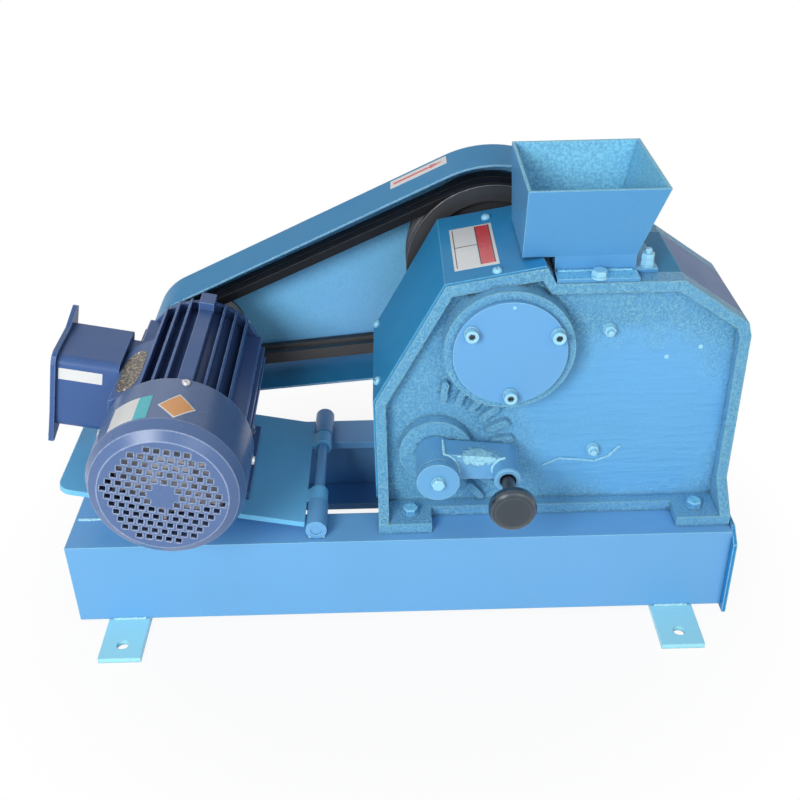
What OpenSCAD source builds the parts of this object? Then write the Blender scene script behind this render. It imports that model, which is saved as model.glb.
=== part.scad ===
// Laboratory jaw crusher on a channel-iron base: a cast jaw box with its
// feed hopper, a hinged motor plate and a guarded two-belt drive.
// Millimetres, +Z up, X along the base, the operator's side faces -Y.
// The origin is on the floor, in the middle of the four foot-bolt holes.

/* [Base] */
// Length of the channel base
base_l = 700; // [640:5:860]
// Depth of the base over both channels
base_d = 233; // [225:1:290]
// Height of the channel section
channel_h = 100; // [80:1:126]
// Flange width of the channel section
flange_w = 48; // [40:1:60]
// Web thickness of the channel section
web_t = 5.3; // [4:0.1:8]
// Flange thickness of the channel section
flange_t = 8.5; // [6:0.1:11]
// Thickness of the foot tabs
tab_t = 6; // [4:0.5:10]
// Width of each foot tab
tab_w = 45; // [35:1:60]
// Reach of a foot tab beyond the channel
tab_reach = 60; // [45:1:80]
// Diameter of the hole in a foot tab
tab_hole_d = 13; // [9:0.5:16]
// Distance from a tab's hole to its outer end
tab_hole_edge = 20; // [15:1:30]
// Thickness of the plate on the right end
end_plate_t = 4; // [3:0.5:8]
// Amount that the end plate stands out past the channels
end_plate_lip = 9; // [4:0.5:16]

/* [Crusher body] */
// Distance from the base's front to the casting's front rim
body_setback = 40.5; // [34:0.5:48]
// Length of the casting
body_l = 369.5; // [310:0.5:445]
// Distance from the base's right end to the casting
body_end = 1; // [0.5:0.5:20]
// Depth of the casting from rim to rim
body_d = 138; // [112:1:166]
// Height of the deck over the base
body_h = 272; // [226:1:327]
// Drop from the deck to the top of the vertical left edge
roof_drop = 128; // [105:1:150]
// Length of the sloping left end
roof_in = 71.5; // [60:0.5:86]
// Distance from the left edge to the notch beside the deck
notch_in = 167; // [150:0.5:195]
// Rise of the sloping roof over the deck
roof_rise = 16.5; // [10:0.5:24]
// Width of the notch beside the deck
notch_w = 9; // [5:0.5:12]
// Length of the chamfer at the deck's right end
chamfer_in = 71; // [58:1:85]
// Drop of the chamfer
chamfer_drop = 51; // [42:1:62]
// Width of the raised rim round each side frame
rim_w = 11; // [8:0.5:15]
// Height of the raised rim
rim_h = 14; // [10:0.5:18]
// Thickness of the cast walls
wall_t = 6; // [5:0.5:10]
// Thickness of the end wall
end_wall_t = 12; // [8:0.5:16]
// Length of each cast foot along the base
foot_l = 56; // [46:1:68]
// Thickness of the casting's bottom flange and feet
foot_t = 12; // [8:0.5:16]
// Reach of a foot beyond the casting's rim
foot_reach = 29; // [24:0.5:33]
// Distance from the casting's ends to the holes in its feet
foot_hole_in = 34; // [28:1:40]
// Radius of the cast boss round each main bearing
boss_r = 64; // [54:1:70]
// Height of that boss over the rim
boss_out = 13; // [8:0.5:16]
// Diameter of the bearing covers
bearing_cover_d = 111; // [92:1:125]
// Thickness of the bearing covers
bearing_cover_t = 6; // [4:0.5:9]
// Thickness of the sheet over the left end
sheet_t = 2; // [1:0.5:3]
// Length of that sheet past the rear side frame
sheet_over = 24; // [10:1:30]

/* [Drive] */
// Distance from the casting's left edge to the eccentric shaft
shaft_in = 132.5; // [112:0.5:158]
// Drop from the deck to the eccentric shaft
shaft_drop = 64.5; // [54:0.5:77]
// Diameter of the eccentric shaft
shaft_d = 40; // [30:1:50]
// Diameter of the drive wheel
wheel_d = 192; // [160:1:232]
// Width of the drive wheel
wheel_w = 46; // [42:1:56]
// Distance from the casting's rear rim to the wheel
wheel_gap = 43.5; // [37:0.5:52]
// Diameter of the motor pulley
pulley_d = 80; // [66:1:100]
// Distance between the two belts
belt_pitch = 19; // [17:0.5:22]
// Top width of a belt
belt_w = 17; // [13:0.5:18]
// Thickness of a belt
belt_t = 11; // [8:0.5:13]

/* [Guard] */
// Width of the guard's strip
guard_w = 68; // [60:1:90]
// Distance from the guard's open edge to the wheel's face
guard_front = 14; // [8:1:20]
// Clear space between the drive wheel and the guard
guard_gap = 27; // [15:1:40]
// Clear space between the motor pulley and the guard
guard_gap_pulley = 24; // [12:1:40]
// Sheet thickness of the guard
guard_t = 2; // [1.5:0.5:4]
// Slot between the back panel and the strip's lower run
guard_slot = 12; // [5:1:20]

/* [Motor] */
// Slope of the hinged motor plate
plate_tilt = 11.8; // [6:0.1:16]
// Length of the motor plate
plate_l = 256; // [210:1:308]
// Thickness of the motor plate
plate_t = 6; // [4:0.5:10]
// Distance from the plate's right edge to the casting
plate_gap = 77.5; // [64:0.5:93]
// Height of the plate's top at its right edge over the base
plate_rise = 14.7; // [12:0.1:18]
// Distance from the base's front to the motor plate
plate_setback = 15; // [5:1:20]
// Distance of the motor's foot centre from the plate's right edge
motor_along = 138; // [115:1:166]
// Outer diameter over the cooling fins
fin_d = 140; // [116:1:168]
// Distance between the cooling fins
fin_pitch = 12.6; // [10.5:0.1:15]
// Space between the fins and the motor plate
motor_rise = 10; // [6:1:24]
// Length of the finned frame
frame_l = 190; // [150:1:228]
// Step from the fins up to the fan cover
cover_step = 5; // [4:0.5:8]
// Length of the fan cover's straight part
cover_l = 62; // [50:1:80]
// Length of the fan cover's rounded nose
nose_l = 18; // [10:1:26]
// Width of the solid rim round the grille
grille_rim = 14; // [10:1:20]
// Side of each square hole in the grille
grille_hole = 5.6; // [4:0.1:7]
// Distance between the grille's holes
grille_pitch = 9.2; // [7:0.1:12]
// Diameter of the motor shaft
motor_shaft_d = 24; // [19:1:29]

/* [Gap adjuster] */
// Distance from the casting's left edge to the adjuster shaft
adj_in = 61.5; // [52:0.5:72]
// Height of the adjuster shaft over the base
adj_h = 82; // [70:1:98]
// Diameter of the adjuster shaft
adj_shaft_d = 28; // [23:1:34]
// Distance from the adjuster shaft to the plunger
adj_arm = 69.5; // [60:0.5:81]
// Angle between two index ribs
index_pitch = 15; // [14:1:18]
// Diameter of the adjuster boss
adj_boss_d = 43; // [36:1:50]
// Length of the adjuster boss
adj_boss_l = 52; // [44:1:62]
// Diameter of the plunger's barrel
barrel_d = 27.5; // [23:0.5:33]
// Length of the plunger's barrel
barrel_l = 47; // [40:1:50]
// Diameter of the plunger
plunger_d = 13; // [11:0.5:15]
// Diameter of the plunger's knob
knob_d = 46.5; // [38:0.5:56]

/* [Hopper] */
// Reach of the hopper over the notch, to the left
hopper_reach = 22; // [17:0.5:26]
// Length of the hopper's mouth
hopper_l = 129.5; // [112:0.5:154]
// Depth of the hopper's mouth
hopper_d = 142; // [118:1:168]
// Height of the hopper over the deck
hopper_h = 92.5; // [77:0.5:112]
// Length of the hopper's throat
throat_l = 109; // [84:1:120]
// Sheet thickness of the hopper
hopper_t = 3; // [2:0.5:5]
// Thickness of the flange under the hopper
hopper_flange_t = 4; // [3:0.5:6]

/* [Jaws] */
// Thickness of the jaw plates behind their teeth
jaw_t = 14; // [10:1:18]
// Height of the teeth
tooth_h = 4; // [3:0.5:5]
// Gap between the teeth at the discharge
jaw_gap = 12; // [6:1:20]
// Thickness of the cheek plates
cheek_t = 4; // [3:0.5:6]
// Radius of the swing jaw's hub
swing_r = 46; // [38:1:50]

/* [Hidden] */
$fn = 96;

// Small shared clearances
fit = 0.05;        // running fit of a shaft in its bore, on the radius
seat = 0.3;        // pieces that lie against each other on different bodies
run = 5;           // free space round what turns
sliver = 0.01;     // thickness of the slabs that a hull joins

// Base
base_y0 = -base_d / 2;
base_x0 = -base_l / 2;
base_top = tab_t + channel_h;
tab_x = base_l / 2 - 54;
tab_hole_y = base_d / 2 + tab_reach - tab_hole_edge;

// Crusher casting
body_x1 = base_l / 2 - body_end;
body_x0 = body_x1 - body_l;
body_y0 = base_y0 + body_setback;
body_y1 = body_y0 + body_d;
deck_z = base_top + body_h;
roof_x = body_x0 + roof_in;
left_edge_z = deck_z - roof_drop;
notch_x = body_x0 + notch_in;
chamfer_x = body_x1 - chamfer_in;
right_edge_z = deck_z - chamfer_drop;
wall_y0 = body_y0 + rim_h;
wall_y1 = body_y1 - rim_h;
inner_y0 = wall_y0 + wall_t;
inner_y1 = wall_y1 - wall_t;
body_z0 = base_top + foot_t;
bearer_w = 50;
bearer_t = 6;
foot_hole_d = 13;
foot_hole_edge = 20;
adj_flange_r = 38;
rib_l = 24;
rib_wide = 7;

// Drive line
shaft_x = body_x0 + shaft_in;
shaft_z = deck_z - shaft_drop;
wheel_y0 = body_y1 + wheel_gap;
wheel_y1 = wheel_y0 + wheel_w;
wheel_mid = wheel_y0 + wheel_w / 2;
wheel_bore_r = shaft_d / 2 - 6;
wheel_r = wheel_d / 2;
pulley_r = pulley_d / 2;
belt_rise = 0.5;   // belts stand this far out of their grooves
groove_slope = tan(19);

// Motor, in its own tilted frame: u runs down the plate, w stands square to it
plate_x = body_x0 - plate_gap;
plate_z = base_top + plate_rise;
motor_h = fin_d / 2 + motor_rise;
cover_d = fin_d + 2 * cover_step;
grille_d = cover_d - 2 * grille_rim;
tilt_c = cos(plate_tilt);
tilt_s = sin(plate_tilt);
motor_x = plate_x - motor_along * tilt_c + motor_h * tilt_s;
motor_z = plate_z + motor_along * tilt_s + motor_h * tilt_c;
shield_l = 20;
frame_y1 = wheel_y0 - run - 3 - shield_l;
frame_y0 = frame_y1 - frame_l;
cover_y0 = frame_y0 - cover_l;
cover_lap = 8;
fan_cover_t = 2;
nose_y = cover_y0 - nose_l;

drive_ends = [[motor_x, motor_z], [shaft_x, shaft_z]];
drive_span = norm(drive_ends[1] - drive_ends[0]);
drive_angle = atan2(shaft_z - motor_z, shaft_x - motor_x);

// Guard
guard_y0 = wheel_y0 - guard_front;
guard_y1 = guard_y0 + guard_w;
guard_r = wheel_r + guard_gap;
guard_r_pulley = pulley_r + guard_gap_pulley;

// Adjuster
adj_x = body_x0 + adj_in;
adj_z = base_top + adj_h;
adj_boss_y = body_y0 - 0.5;
adj_front_y = adj_boss_y - adj_boss_l;
plunger_x = adj_x + adj_arm;
plunger_r = plunger_d / 2;
rib_h = 8;

// Hopper
hopper_x = notch_x - hopper_reach;
hopper_z = deck_z + hopper_h;
throat_x0 = notch_x + notch_w + 0.5;
throat_x1 = hopper_x + throat_l;

blue = [0.36, 0.62, 0.80];
motor_blue = [0.27, 0.31, 0.55];

// ---------------------------------------------------------------- helpers

// Extrudes an X-Z outline from y0 to y1
module along_y(y0, y1) {
    translate([0, y1, 0]) rotate([90, 0, 0]) linear_extrude(y1 - y0) children();
}

// Cylinder along Y from y0 to y1 about the line through x and z
module rod_y(x, z, r, y0, y1) {
    translate([x, y0, z]) rotate([-90, 0, 0]) cylinder(r = r, h = y1 - y0);
}

// Turns a profile of [radius, y] points about a line along Y
module revolve_y(x, z, points) {
    translate([x, 0, z]) rotate([-90, 0, 0]) rotate_extrude() polygon(points);
}

// Angle from the line between the two shafts to a run's outward normal
function drive_lean(r_motor, r_wheel) = acos((r_motor - r_wheel) / drive_span);

// Filled outline round both shafts
module drive_outline(r_motor, r_wheel) {
    hull() {
        translate(drive_ends[0]) circle(r_motor);
        translate(drive_ends[1]) circle(r_wheel);
    }
}

// Channel section: the web on the left, flanges to the right, height upwards
module channel_section() {
    difference() {
        square([flange_w, channel_h]);
        translate([web_t, flange_t]) square([flange_w, channel_h - 2 * flange_t]);
    }
}

// Places children in the motor's own frame: +X down the plate, +Z square to it
module on_plate() {
    translate([plate_x, 0, plate_z]) rotate([0, plate_tilt, 0]) children();
}

// Places children on the motor shaft's centre line, in the motor's frame
module on_motor() {
    translate([motor_x, 0, motor_z]) rotate([0, plate_tilt, 0]) children();
}

// ------------------------------------------------------------------- base

// One long channel with its web on the outside
module long_channel() {
    translate([base_x0, base_y0, tab_t]) rotate([90, 0, 90])
        linear_extrude(base_l) channel_section();
}

module front_channel() { color(blue) long_channel(); }

module rear_channel() { color(blue) mirror([0, 1, 0]) long_channel(); }

// Channel that closes the left end, between the flanges of the long ones
module left_cross_member() {
    color(blue) translate([base_x0, 0, tab_t]) rotate([90, 0, 0])
        translate([0, 0, -(base_d / 2 - flange_w)])
        linear_extrude(base_d - 2 * flange_w) channel_section();
}

// Angle iron from channel to channel, under one end of the casting
module bearer(x, side) {
    y = base_d / 2 - flange_w;
    color(blue) translate([x, 0, 0]) mirror([side, 0, 0]) {
        translate([0, -y, base_top - bearer_t]) cube([bearer_w, 2 * y, bearer_t]);
        translate([0, -y, base_top - bearer_w]) cube([bearer_t, 2 * y, bearer_w]);
    }
}

module bearer_left() { bearer(body_x0, 0); }

module bearer_right() { bearer(body_x1, 1); }

// Plate over the right end, standing out a little past the front channel
module end_plate() {
    h = base_top + 3;
    w = base_d + end_plate_lip;
    color(blue) translate([base_x0 + base_l, base_y0 - end_plate_lip, 0])
        rotate([90, 0, 90]) linear_extrude(end_plate_t)
        polygon([[0, 2], [w, 2], [w, h], [16, h], [0, h - 14]]);
}

// Flat bar tab under a channel, with its open bolt hole
module foot_tab(x, side) {
    l = tab_reach + flange_w;
    color(blue) mirror([0, side, 0]) difference() {
        translate([x - tab_w / 2, base_y0 - tab_reach, 0]) cube([tab_w, l, tab_t]);
        translate([x, -tab_hole_y, -1]) cylinder(d = tab_hole_d, h = tab_t + 2);
    }
}

// ------------------------------------------------------------ motor plate

bush_d = 22;
bush_l = 44;
rod_d = 12;
bush_x = plate_x + 12;
bush_z = base_top + bush_d / 2;

// Hinge bush welded on a channel's top flange
module hinge_bush(side) {
    y = base_y0 + flange_w - bush_l + 2;
    color(blue) mirror([0, side, 0]) difference() {
        rod_y(bush_x, bush_z, bush_d / 2, y, y + bush_l);
        rod_y(bush_x, bush_z, rod_d / 2 + fit, y - 1, y + bush_l + 1);
    }
}

// Rod through both bushes
module hinge_rod() {
    color("silver") rod_y(bush_x, bush_z, rod_d / 2, base_y0 + 7, -base_y0 - 7);
}

plate_y0 = base_y0 + plate_setback;
plate_y1 = -base_y0 - 26;

// Sloping plate with rounded left corners and two knuckles on the rod
module motor_plate() {
    r = 14;
    y0 = base_y0 + flange_w + 3;
    color(blue) {
        on_plate() difference() {
            translate([0, 0, -plate_t]) mirror([1, 0, 0]) linear_extrude(plate_t) difference() {
                translate([0, plate_y0]) square([plate_l, plate_y1 - plate_y0]);
                for (y = [plate_y0, plate_y1]) {
                    s = y == plate_y0 ? 1 : -1;
                    translate([plate_l, y]) difference() {
                        translate([-r, s > 0 ? -1 : -r]) square([r + 1, r + 1]);
                        translate([-r, s * r]) circle(r);
                    }
                }
            }
            for (u = [-1, 1], v = [0, 1])
                translate([-motor_along + u * motor_foot_a / 2, motor_foot_y(v), -plate_t - 1])
                    cylinder(d = motor_hole_d, h = plate_t + 2);
        }
        for (s = [0, 1]) mirror([0, s, 0]) knuckle(y0);
    }
}

// Eye on the hinge rod with a tongue to the plate
module knuckle(y) {
    w = 22;
    difference() {
        union() {
            rod_y(bush_x, bush_z, bush_d / 2 - 1, y, y + w);
            along_y(y, y + w) polygon([[plate_x - 1, plate_z], [bush_x, bush_z + bush_d / 2 - 2],
                [bush_x, bush_z - 2], [plate_x - 1, plate_z - plate_t]]);
        }
        rod_y(bush_x, bush_z, rod_d / 2 + fit, y - 1, y + w + 1);
    }
}

// ------------------------------------------------------------------ motor

motor_foot_a = 125;
motor_foot_b = 100;
motor_hole_d = 10;
frame_mid = (frame_y0 + frame_y1) / 2 + 6;
function motor_foot_y(i) = frame_mid + (i - 0.5) * motor_foot_b;
fin_t = 2.6;
core_r = fin_d / 2 - 15;
lug_w = 14;

// Cross-section of the finned frame: fins stand up, down and to both sides
module frame_section() {
    r = fin_d / 2;
    circle(core_r);
    intersection() {
        circle(r);
        union() {
            for (i = [-3.5 : 3.5])
                translate([i * fin_pitch - fin_t / 2, -r]) square([fin_t, 2 * r]);
            for (i = [-2.5 : 2.5])
                translate([-r, i * fin_pitch - fin_t / 2]) square([2 * r, fin_t]);
        }
    }
}

// Finned cast frame with its feet, the lug along its top and the box seat
module motor_frame() {
    pad = 9;
    pad_l = motor_foot_b + 28;
    fin_r = fin_d / 2;
    y0 = frame_y0 + cover_lap + 2;
    color(motor_blue) on_motor() difference() {
        union() {
            along_y(frame_y0, frame_y1) frame_section();
            rod_y(0, 0, cover_d / 2 - fan_cover_t - fit, frame_y0, frame_y0 + cover_lap - 2);
            translate([-lug_w / 2, y0, core_r - 4]) cube([lug_w, frame_y1 - y0, fin_r - core_r + 6]);
            translate([-lug_w / 2 - 1, frame_y1 - 30, core_r - 4])
                cube([lug_w + 2, 24, fin_r - core_r + 14]);
            along_y(y0, y0 + plate_seat_l) polygon([[-3.5 * fin_pitch, 10],
                [-3.5 * fin_pitch, fin_r - 16], [1 - box_in, fin_r - 34], [1 - box_in, 10]]);
            along_y(frame_mid - pad_l / 2, frame_mid + pad_l / 2) for (s = [-1, 1])
                polygon([[s * (motor_foot_a / 2 + 14), -motor_h],
                    [s * (motor_foot_a / 2 + 14), -motor_h + pad],
                    [s * (motor_foot_a / 2 - 6), -motor_h + pad],
                    [s * (core_r - 2), -20], [s * (core_r - 12), -20],
                    [s * 30, -core_r + 6], [s * 30, -core_r - 2],
                    [s * (motor_foot_a / 2 - 16), -motor_h]]);
            translate([-box_in, box_y - neck_w / 2, -neck_w / 2])
                cube([box_in - core_r + 4, neck_w, neck_w]);
        }
        for (s = [-1, 1], i = [0, 1])
            translate([s * motor_foot_a / 2, motor_foot_y(i), -motor_h - 1])
                cylinder(d = motor_hole_d, h = pad + 2);
        rod_y(0, 0, motor_shaft_d / 2 + 1, frame_y0 - 1, frame_y1 + 1);
    }
}

// Drive-end shield with its bearing boss
module motor_end_shield() {
    r = fin_d / 2 - 5;
    y = frame_y1;
    bore = motor_shaft_d / 2 + fit;
    color(motor_blue) on_motor() revolve_y(0, 0, [[bore, y], [r, y], [r, y + 6], [r - 9, y + 10],
        [30, y + 13], [27, y + shield_l], [bore, y + shield_l]]);
}

// Stamped fan cover: a thin cup with a rounded nose and a square-hole grille
module motor_fan_cover() {
    r = cover_d / 2;
    t = fan_cover_t;
    n = ceil(grille_d / 2 / grille_pitch);
    color(motor_blue) on_motor() difference() {
        revolve_y(0, 0, [[0, nose_y], [grille_d / 2, nose_y], [r - 5, nose_y + 6],
            [r, cover_y0], [r, frame_y0 + cover_lap], [r - t, frame_y0 + cover_lap], [r - t, cover_y0],
            [r - 5 - t, nose_y + 7], [grille_d / 2 - 1, nose_y + t], [0, nose_y + t]]);
        along_y(nose_y - 1, nose_y + t + 1) for (i = [-n : n], j = [-n : n])
            if (grille_open(i, j))
                translate([(i + (j % 2 == 0 ? 0 : 0.5)) * grille_pitch, j * grille_pitch * 0.9])
                    square(grille_hole, center = true);
    }
}

// True where the grille has a hole: inside its edge and off the solid centre
function grille_open(i, j) = let (
        x = (i + (j % 2 == 0 ? 0 : 0.5)) * grille_pitch,
        z = j * grille_pitch * 0.9,
        d = norm([x, z]))
    d < grille_d / 2 - grille_hole && d > 13;

// Fan on the motor shaft, behind the grille
module motor_fan() {
    y0 = cover_y0 + 16;
    color("dimgray") on_motor() difference() {
        union() {
            rod_y(0, 0, 22, y0, y0 + 26);
            rod_y(0, 0, cover_d / 2 - 14, y0 + 22, y0 + 26);
            for (i = [0 : 5]) rotate([0, i * 60, 0])
                translate([-1.5, y0, 15]) cube([3, 24, cover_d / 2 - 14 - 15]);
        }
        rod_y(0, 0, motor_shaft_d / 2 - 4 + fit, y0 - 1, y0 + 27);
    }
}

// Stepped motor shaft, from the fan to the pulley
module motor_shaft() {
    r = motor_shaft_d / 2;
    color("silver") on_motor() revolve_y(0, 0, [[0, cover_y0 + 12], [r - 4, cover_y0 + 12],
        [r - 4, frame_y0 + 4], [r, frame_y0 + 4], [r, wheel_y1], [0, wheel_y1]]);
}

box_in = fin_d / 2 + 2;
box_l = 62;
box_out = box_in + box_l;
box_w = 84;
box_r = 10;
box_wall = 8;
lid_t = 5;
neck_w = 66;
plate_seat_l = 104;
entry_d = 20;      // cable entry in the box's rear side
entry_l = 12;
box_y = frame_mid + 6;

// Square outline with rounded corners, about the origin
module rounded_square(w, r) {
    difference() {
        square(w, center = true);
        for (a = [0 : 90 : 270]) rotate(a) translate([w / 2 - r, w / 2 - r]) difference() {
            square(r + 1);
            circle(r);
        }
    }
}

// Places an outline across the motor's left side and extrudes it outwards from x
module box_slice(x, l) {
    translate([x, box_y, 0]) rotate([90, 0, 90]) linear_extrude(l) children();
}

// Terminal box on the motor's left side, with its cable entry at the rear
module terminal_box() {
    x = -box_out + box_l / 2;
    y1 = box_y + box_w / 2;
    color(motor_blue) on_motor() difference() {
        union() {
            box_slice(-box_out, box_l) rounded_square(box_w, box_r);
            rod_y(x, 0, entry_d / 2 + 5, y1 - 2, y1 + entry_l);
        }
        box_slice(-box_out - 1, box_l - box_wall + 1)
            rounded_square(box_w - 2 * box_wall, box_r / 2);
        rod_y(x, 0, entry_d / 2, y1 - box_wall - 1, y1 + entry_l + 1);
    }
}

// Lid with a pointed screw ear at two opposite corners
module terminal_box_lid() {
    h = box_w / 2 + 5;
    half = [[h - 34, h], [h - 4, h + 11], [h + 3, h + 8], [h, h - 26], [h, 10 - h],
        [h - 3, 3 - h], [h - 10, -h]];
    color(motor_blue) on_motor() box_slice(-box_out - lid_t, lid_t)
        polygon(concat(half, [for (p = half) -p]));
}

// ------------------------------------------------------------------ drive

// One V-groove in a rim, as [radius, y] points
function groove(y, r) = let (low = belt_w / 2 - (belt_t + 2) * groove_slope)
    [[r, y - belt_w / 2], [r - belt_t - 2, y - low], [r - belt_t - 2, y + low],
    [r, y + belt_w / 2]];

// Grooved rim from the near to the far face, as [radius, y] points
function rim_points(r) = concat([[r, wheel_y0]], groove(wheel_mid - belt_pitch / 2, r),
    groove(wheel_mid + belt_pitch / 2, r), [[r, wheel_y1]]);

// Small pulley keyed on the motor shaft
module motor_pulley() {
    bore = motor_shaft_d / 2 + fit;
    color("dimgray") revolve_y(motor_x, motor_z,
        concat([[bore, wheel_y0]], rim_points(pulley_r), [[bore, wheel_y1]]));
}

// Heavy drive wheel: grooved rim, dished web and hub
module drive_wheel() {
    bore = wheel_bore_r + fit;
    hub = shaft_d / 2 + 14;
    rim_in = wheel_r - 18;
    web_y0 = wheel_y0 + 14;
    web_y1 = web_y0 + 14;
    color("dimgray") revolve_y(shaft_x, shaft_z, concat(
        [[bore, wheel_y0 - 4], [hub, wheel_y0 - 4], [hub, web_y0], [rim_in - 4, web_y0],
            [rim_in, wheel_y0]],
        rim_points(wheel_r),
        [[rim_in, wheel_y1], [rim_in - 4, web_y1], [hub, web_y1], [hub, wheel_y1],
            [bore, wheel_y1]]));
}

// One V-belt as a fixed loop, lying clear of both grooves' sides
module belt(y) {
    r_motor = pulley_r + belt_rise;
    r_wheel = wheel_r + belt_rise;
    top = belt_w / 2 - seat;
    low = top - belt_t * groove_slope;
    over = 1;
    wide = top + over * groove_slope;
    color([0.13, 0.13, 0.14]) difference() {
        along_y(y - top, y + top) drive_outline(r_motor, r_wheel);
        along_y(y - low, y + low) drive_outline(r_motor - belt_t, r_wheel - belt_t);
        for (s = [-1, 1]) hull() {
            along_y(y + s * low - sliver, y + s * low + sliver)
                drive_outline(r_motor - belt_t, r_wheel - belt_t);
            along_y(y + s * wide - sliver, y + s * wide + sliver)
                drive_outline(r_motor + over, r_wheel + over);
        }
    }
}

module belt_near() { belt(wheel_mid - belt_pitch / 2); }

module belt_far() { belt(wheel_mid + belt_pitch / 2); }

// ------------------------------------------------------------------ guard

// Closed sheet strip round the drive
module guard_strip() {
    color(blue) along_y(guard_y0, guard_y1) difference() {
        drive_outline(guard_r_pulley, guard_r);
        drive_outline(guard_r_pulley - guard_t, guard_r - guard_t);
    }
}

// Back panel inside the strip, cut back along the lower run to leave a slot
module guard_back_panel() {
    r_motor = guard_r_pulley - guard_t;
    r_wheel = guard_r - guard_t;
    lean = drive_lean(r_motor, r_wheel);
    run_l = drive_span * sin(lean);
    y0 = guard_y1 - guard_t;
    color(blue) difference() {
        along_y(y0, guard_y1) drive_outline(r_motor, r_wheel);
        translate([motor_x, 0, motor_z]) rotate([0, lean - drive_angle, 0])
            translate([r_motor - guard_slot, y0 - 1, 0.06 * run_l])
            cube([guard_slot + 1, guard_t + 2, 0.82 * run_l]);
    }
}

// Bracket that carries the guard on the rear channel, cut to the strip's lower run
module guard_bracket() {
    w = 40;
    t = 5;
    reach = 34;
    y = -base_y0 - flange_w + 8;
    z = shaft_z - guard_r;
    color(blue) difference() {
        translate([shaft_x - w / 2, y, base_top]) {
            cube([w, reach, t]);
            translate([0, reach - t, 0]) cube([w, t, z - base_top]);
            translate([0, reach - t, z - base_top - t - 3]) cube([w, 24, t + 6]);
        }
        along_y(y, guard_y1 + 10) drive_outline(guard_r_pulley, guard_r);
    }
}

// ------------------------------------------------------------------- body

// Outline of a side frame, seen from the front
function body_outline() = [[body_x0, base_top], [body_x1, base_top], [body_x1, right_edge_z - 10],
    [body_x1 - 4, right_edge_z + 4], [chamfer_x, deck_z], [notch_x + notch_w, deck_z],
    [notch_x, deck_z + roof_rise], [roof_x, deck_z], [body_x0, left_edge_z]];

// Side frame casting; side 0 faces the operator, side 1 is its mirror image
module side_frame(side) {
    color(blue) translate([0, side * (body_y0 + body_y1), 0]) mirror([0, side, 0]) difference() {
        union() {
            along_y(wall_y0, inner_y0) polygon(body_outline());
            along_y(body_y0, wall_y0) difference() {
                polygon(body_outline());
                frame_recess();
            }
            rod_y(shaft_x, shaft_z, boss_r, body_y0 - boss_out, wall_y0 + 1);
            rod_y(adj_x, adj_z, adj_flange_r, body_y0, wall_y0 + 1);
            casting_foot(body_x0, 0);
            casting_foot(body_x1, 1);
            index_ribs();
        }
        rod_y(shaft_x, shaft_z, shaft_d / 2 + fit, body_y0 - boss_out - 1, inner_y0 + 1);
        rod_y(adj_x, adj_z, adj_shaft_d / 2 + fit, body_y0 - 1, inner_y0 + 1);
        for (x = [body_x0 + foot_hole_in, body_x1 - foot_hole_in])
            translate([x, body_y0 - foot_reach + foot_hole_edge, base_top - 1])
                cylinder(d = foot_hole_d, h = foot_t + 2);
    }
}

// Foot at one end of a side frame, with the gusset that runs up into the rim
module casting_foot(x, turned) {
    translate([x, body_y0, 0]) mirror([turned, 0, 0]) {
        translate([0, -foot_reach, base_top]) cube([foot_l, foot_reach + 1, foot_t]);
        rotate([90, 0, 90]) linear_extrude(rim_w) polygon([[1, body_z0 - 1],
            [-foot_reach, body_z0 - 1], [-foot_reach, body_z0], [0, body_z0 + foot_reach],
            [1, body_z0 + foot_reach]]);
    }
}

// The part of the outline inside the raised rim
module frame_recess() {
    r = rim_w;
    polygon([[body_x0 + r, body_z0], [body_x1 - r, body_z0],
        [body_x1 - r, right_edge_z - 12], [body_x1 - 4 - r, right_edge_z - 2],
        [chamfer_x - 4, deck_z - r], [notch_x + notch_w - 4, deck_z - r],
        [notch_x - 4, deck_z + roof_rise - r - 2], [roof_x + 6, deck_z - r],
        [body_x0 + r, left_edge_z - 3]]);
}

// Radial ribs that index the adjuster arm, with rounded ends
module index_ribs() {
    straight = rib_l - rib_wide;
    for (i = [-3.5 : 5.5]) translate([adj_x, 0, adj_z]) rotate([0, -i * index_pitch, 0]) {
        translate([adj_arm - straight / 2, wall_y0 - rib_h, -rib_wide / 2])
            cube([straight, rib_h + 1, rib_wide]);
        for (s = [-1, 1])
            rod_y(adj_arm + s * straight / 2, 0, rib_wide / 2, wall_y0 - rib_h, wall_y0 + 1);
    }
}

module front_side_frame() { side_frame(0); }

module rear_side_frame() { side_frame(1); }

// End wall: the deck, its chamfer and the right end, between the side frames
module end_wall() {
    t = end_wall_t;
    x = jaw_back_x;
    color(blue) along_y(inner_y0, inner_y1) polygon([[body_x1, base_top],
        [body_x1, right_edge_z - 10], [body_x1 - 4, right_edge_z + 4], [chamfer_x, deck_z],
        [x, deck_z], [x, base_top], [x + t, base_top], [x + t, deck_z - t],
        [chamfer_x - 5, deck_z - t], [body_x1 - t, right_edge_z - 6], [body_x1 - t, base_top]]);
}

// Bent sheet laid over the left end and the sloping roof of both side frames
module cover_sheet() {
    t = sheet_t;
    // How far a bend's outer corner lies out from its inner one
    function bend(a, b) = t / cos((a - b) / 2) * [cos((a + b) / 2 + 90), sin((a + b) / 2 + 90)];
    left = 90;
    slope = atan2(deck_z - left_edge_z, roof_x - body_x0);
    roof = atan2(roof_rise, notch_x - roof_x);
    p = [[body_x0, body_z0 + 14], [body_x0, left_edge_z], [roof_x, deck_z],
        [notch_x - 1, deck_z + roof_rise - tan(roof)]];
    color(blue) along_y(body_y0 + 1, body_y1 + sheet_over) polygon([p[0], p[1], p[2], p[3],
        p[3] + bend(roof, roof), p[2] + bend(slope, roof), p[1] + bend(left, slope),
        p[0] + bend(left, left)]);
}

// ---------------------------------------------------------------- hopper

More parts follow.
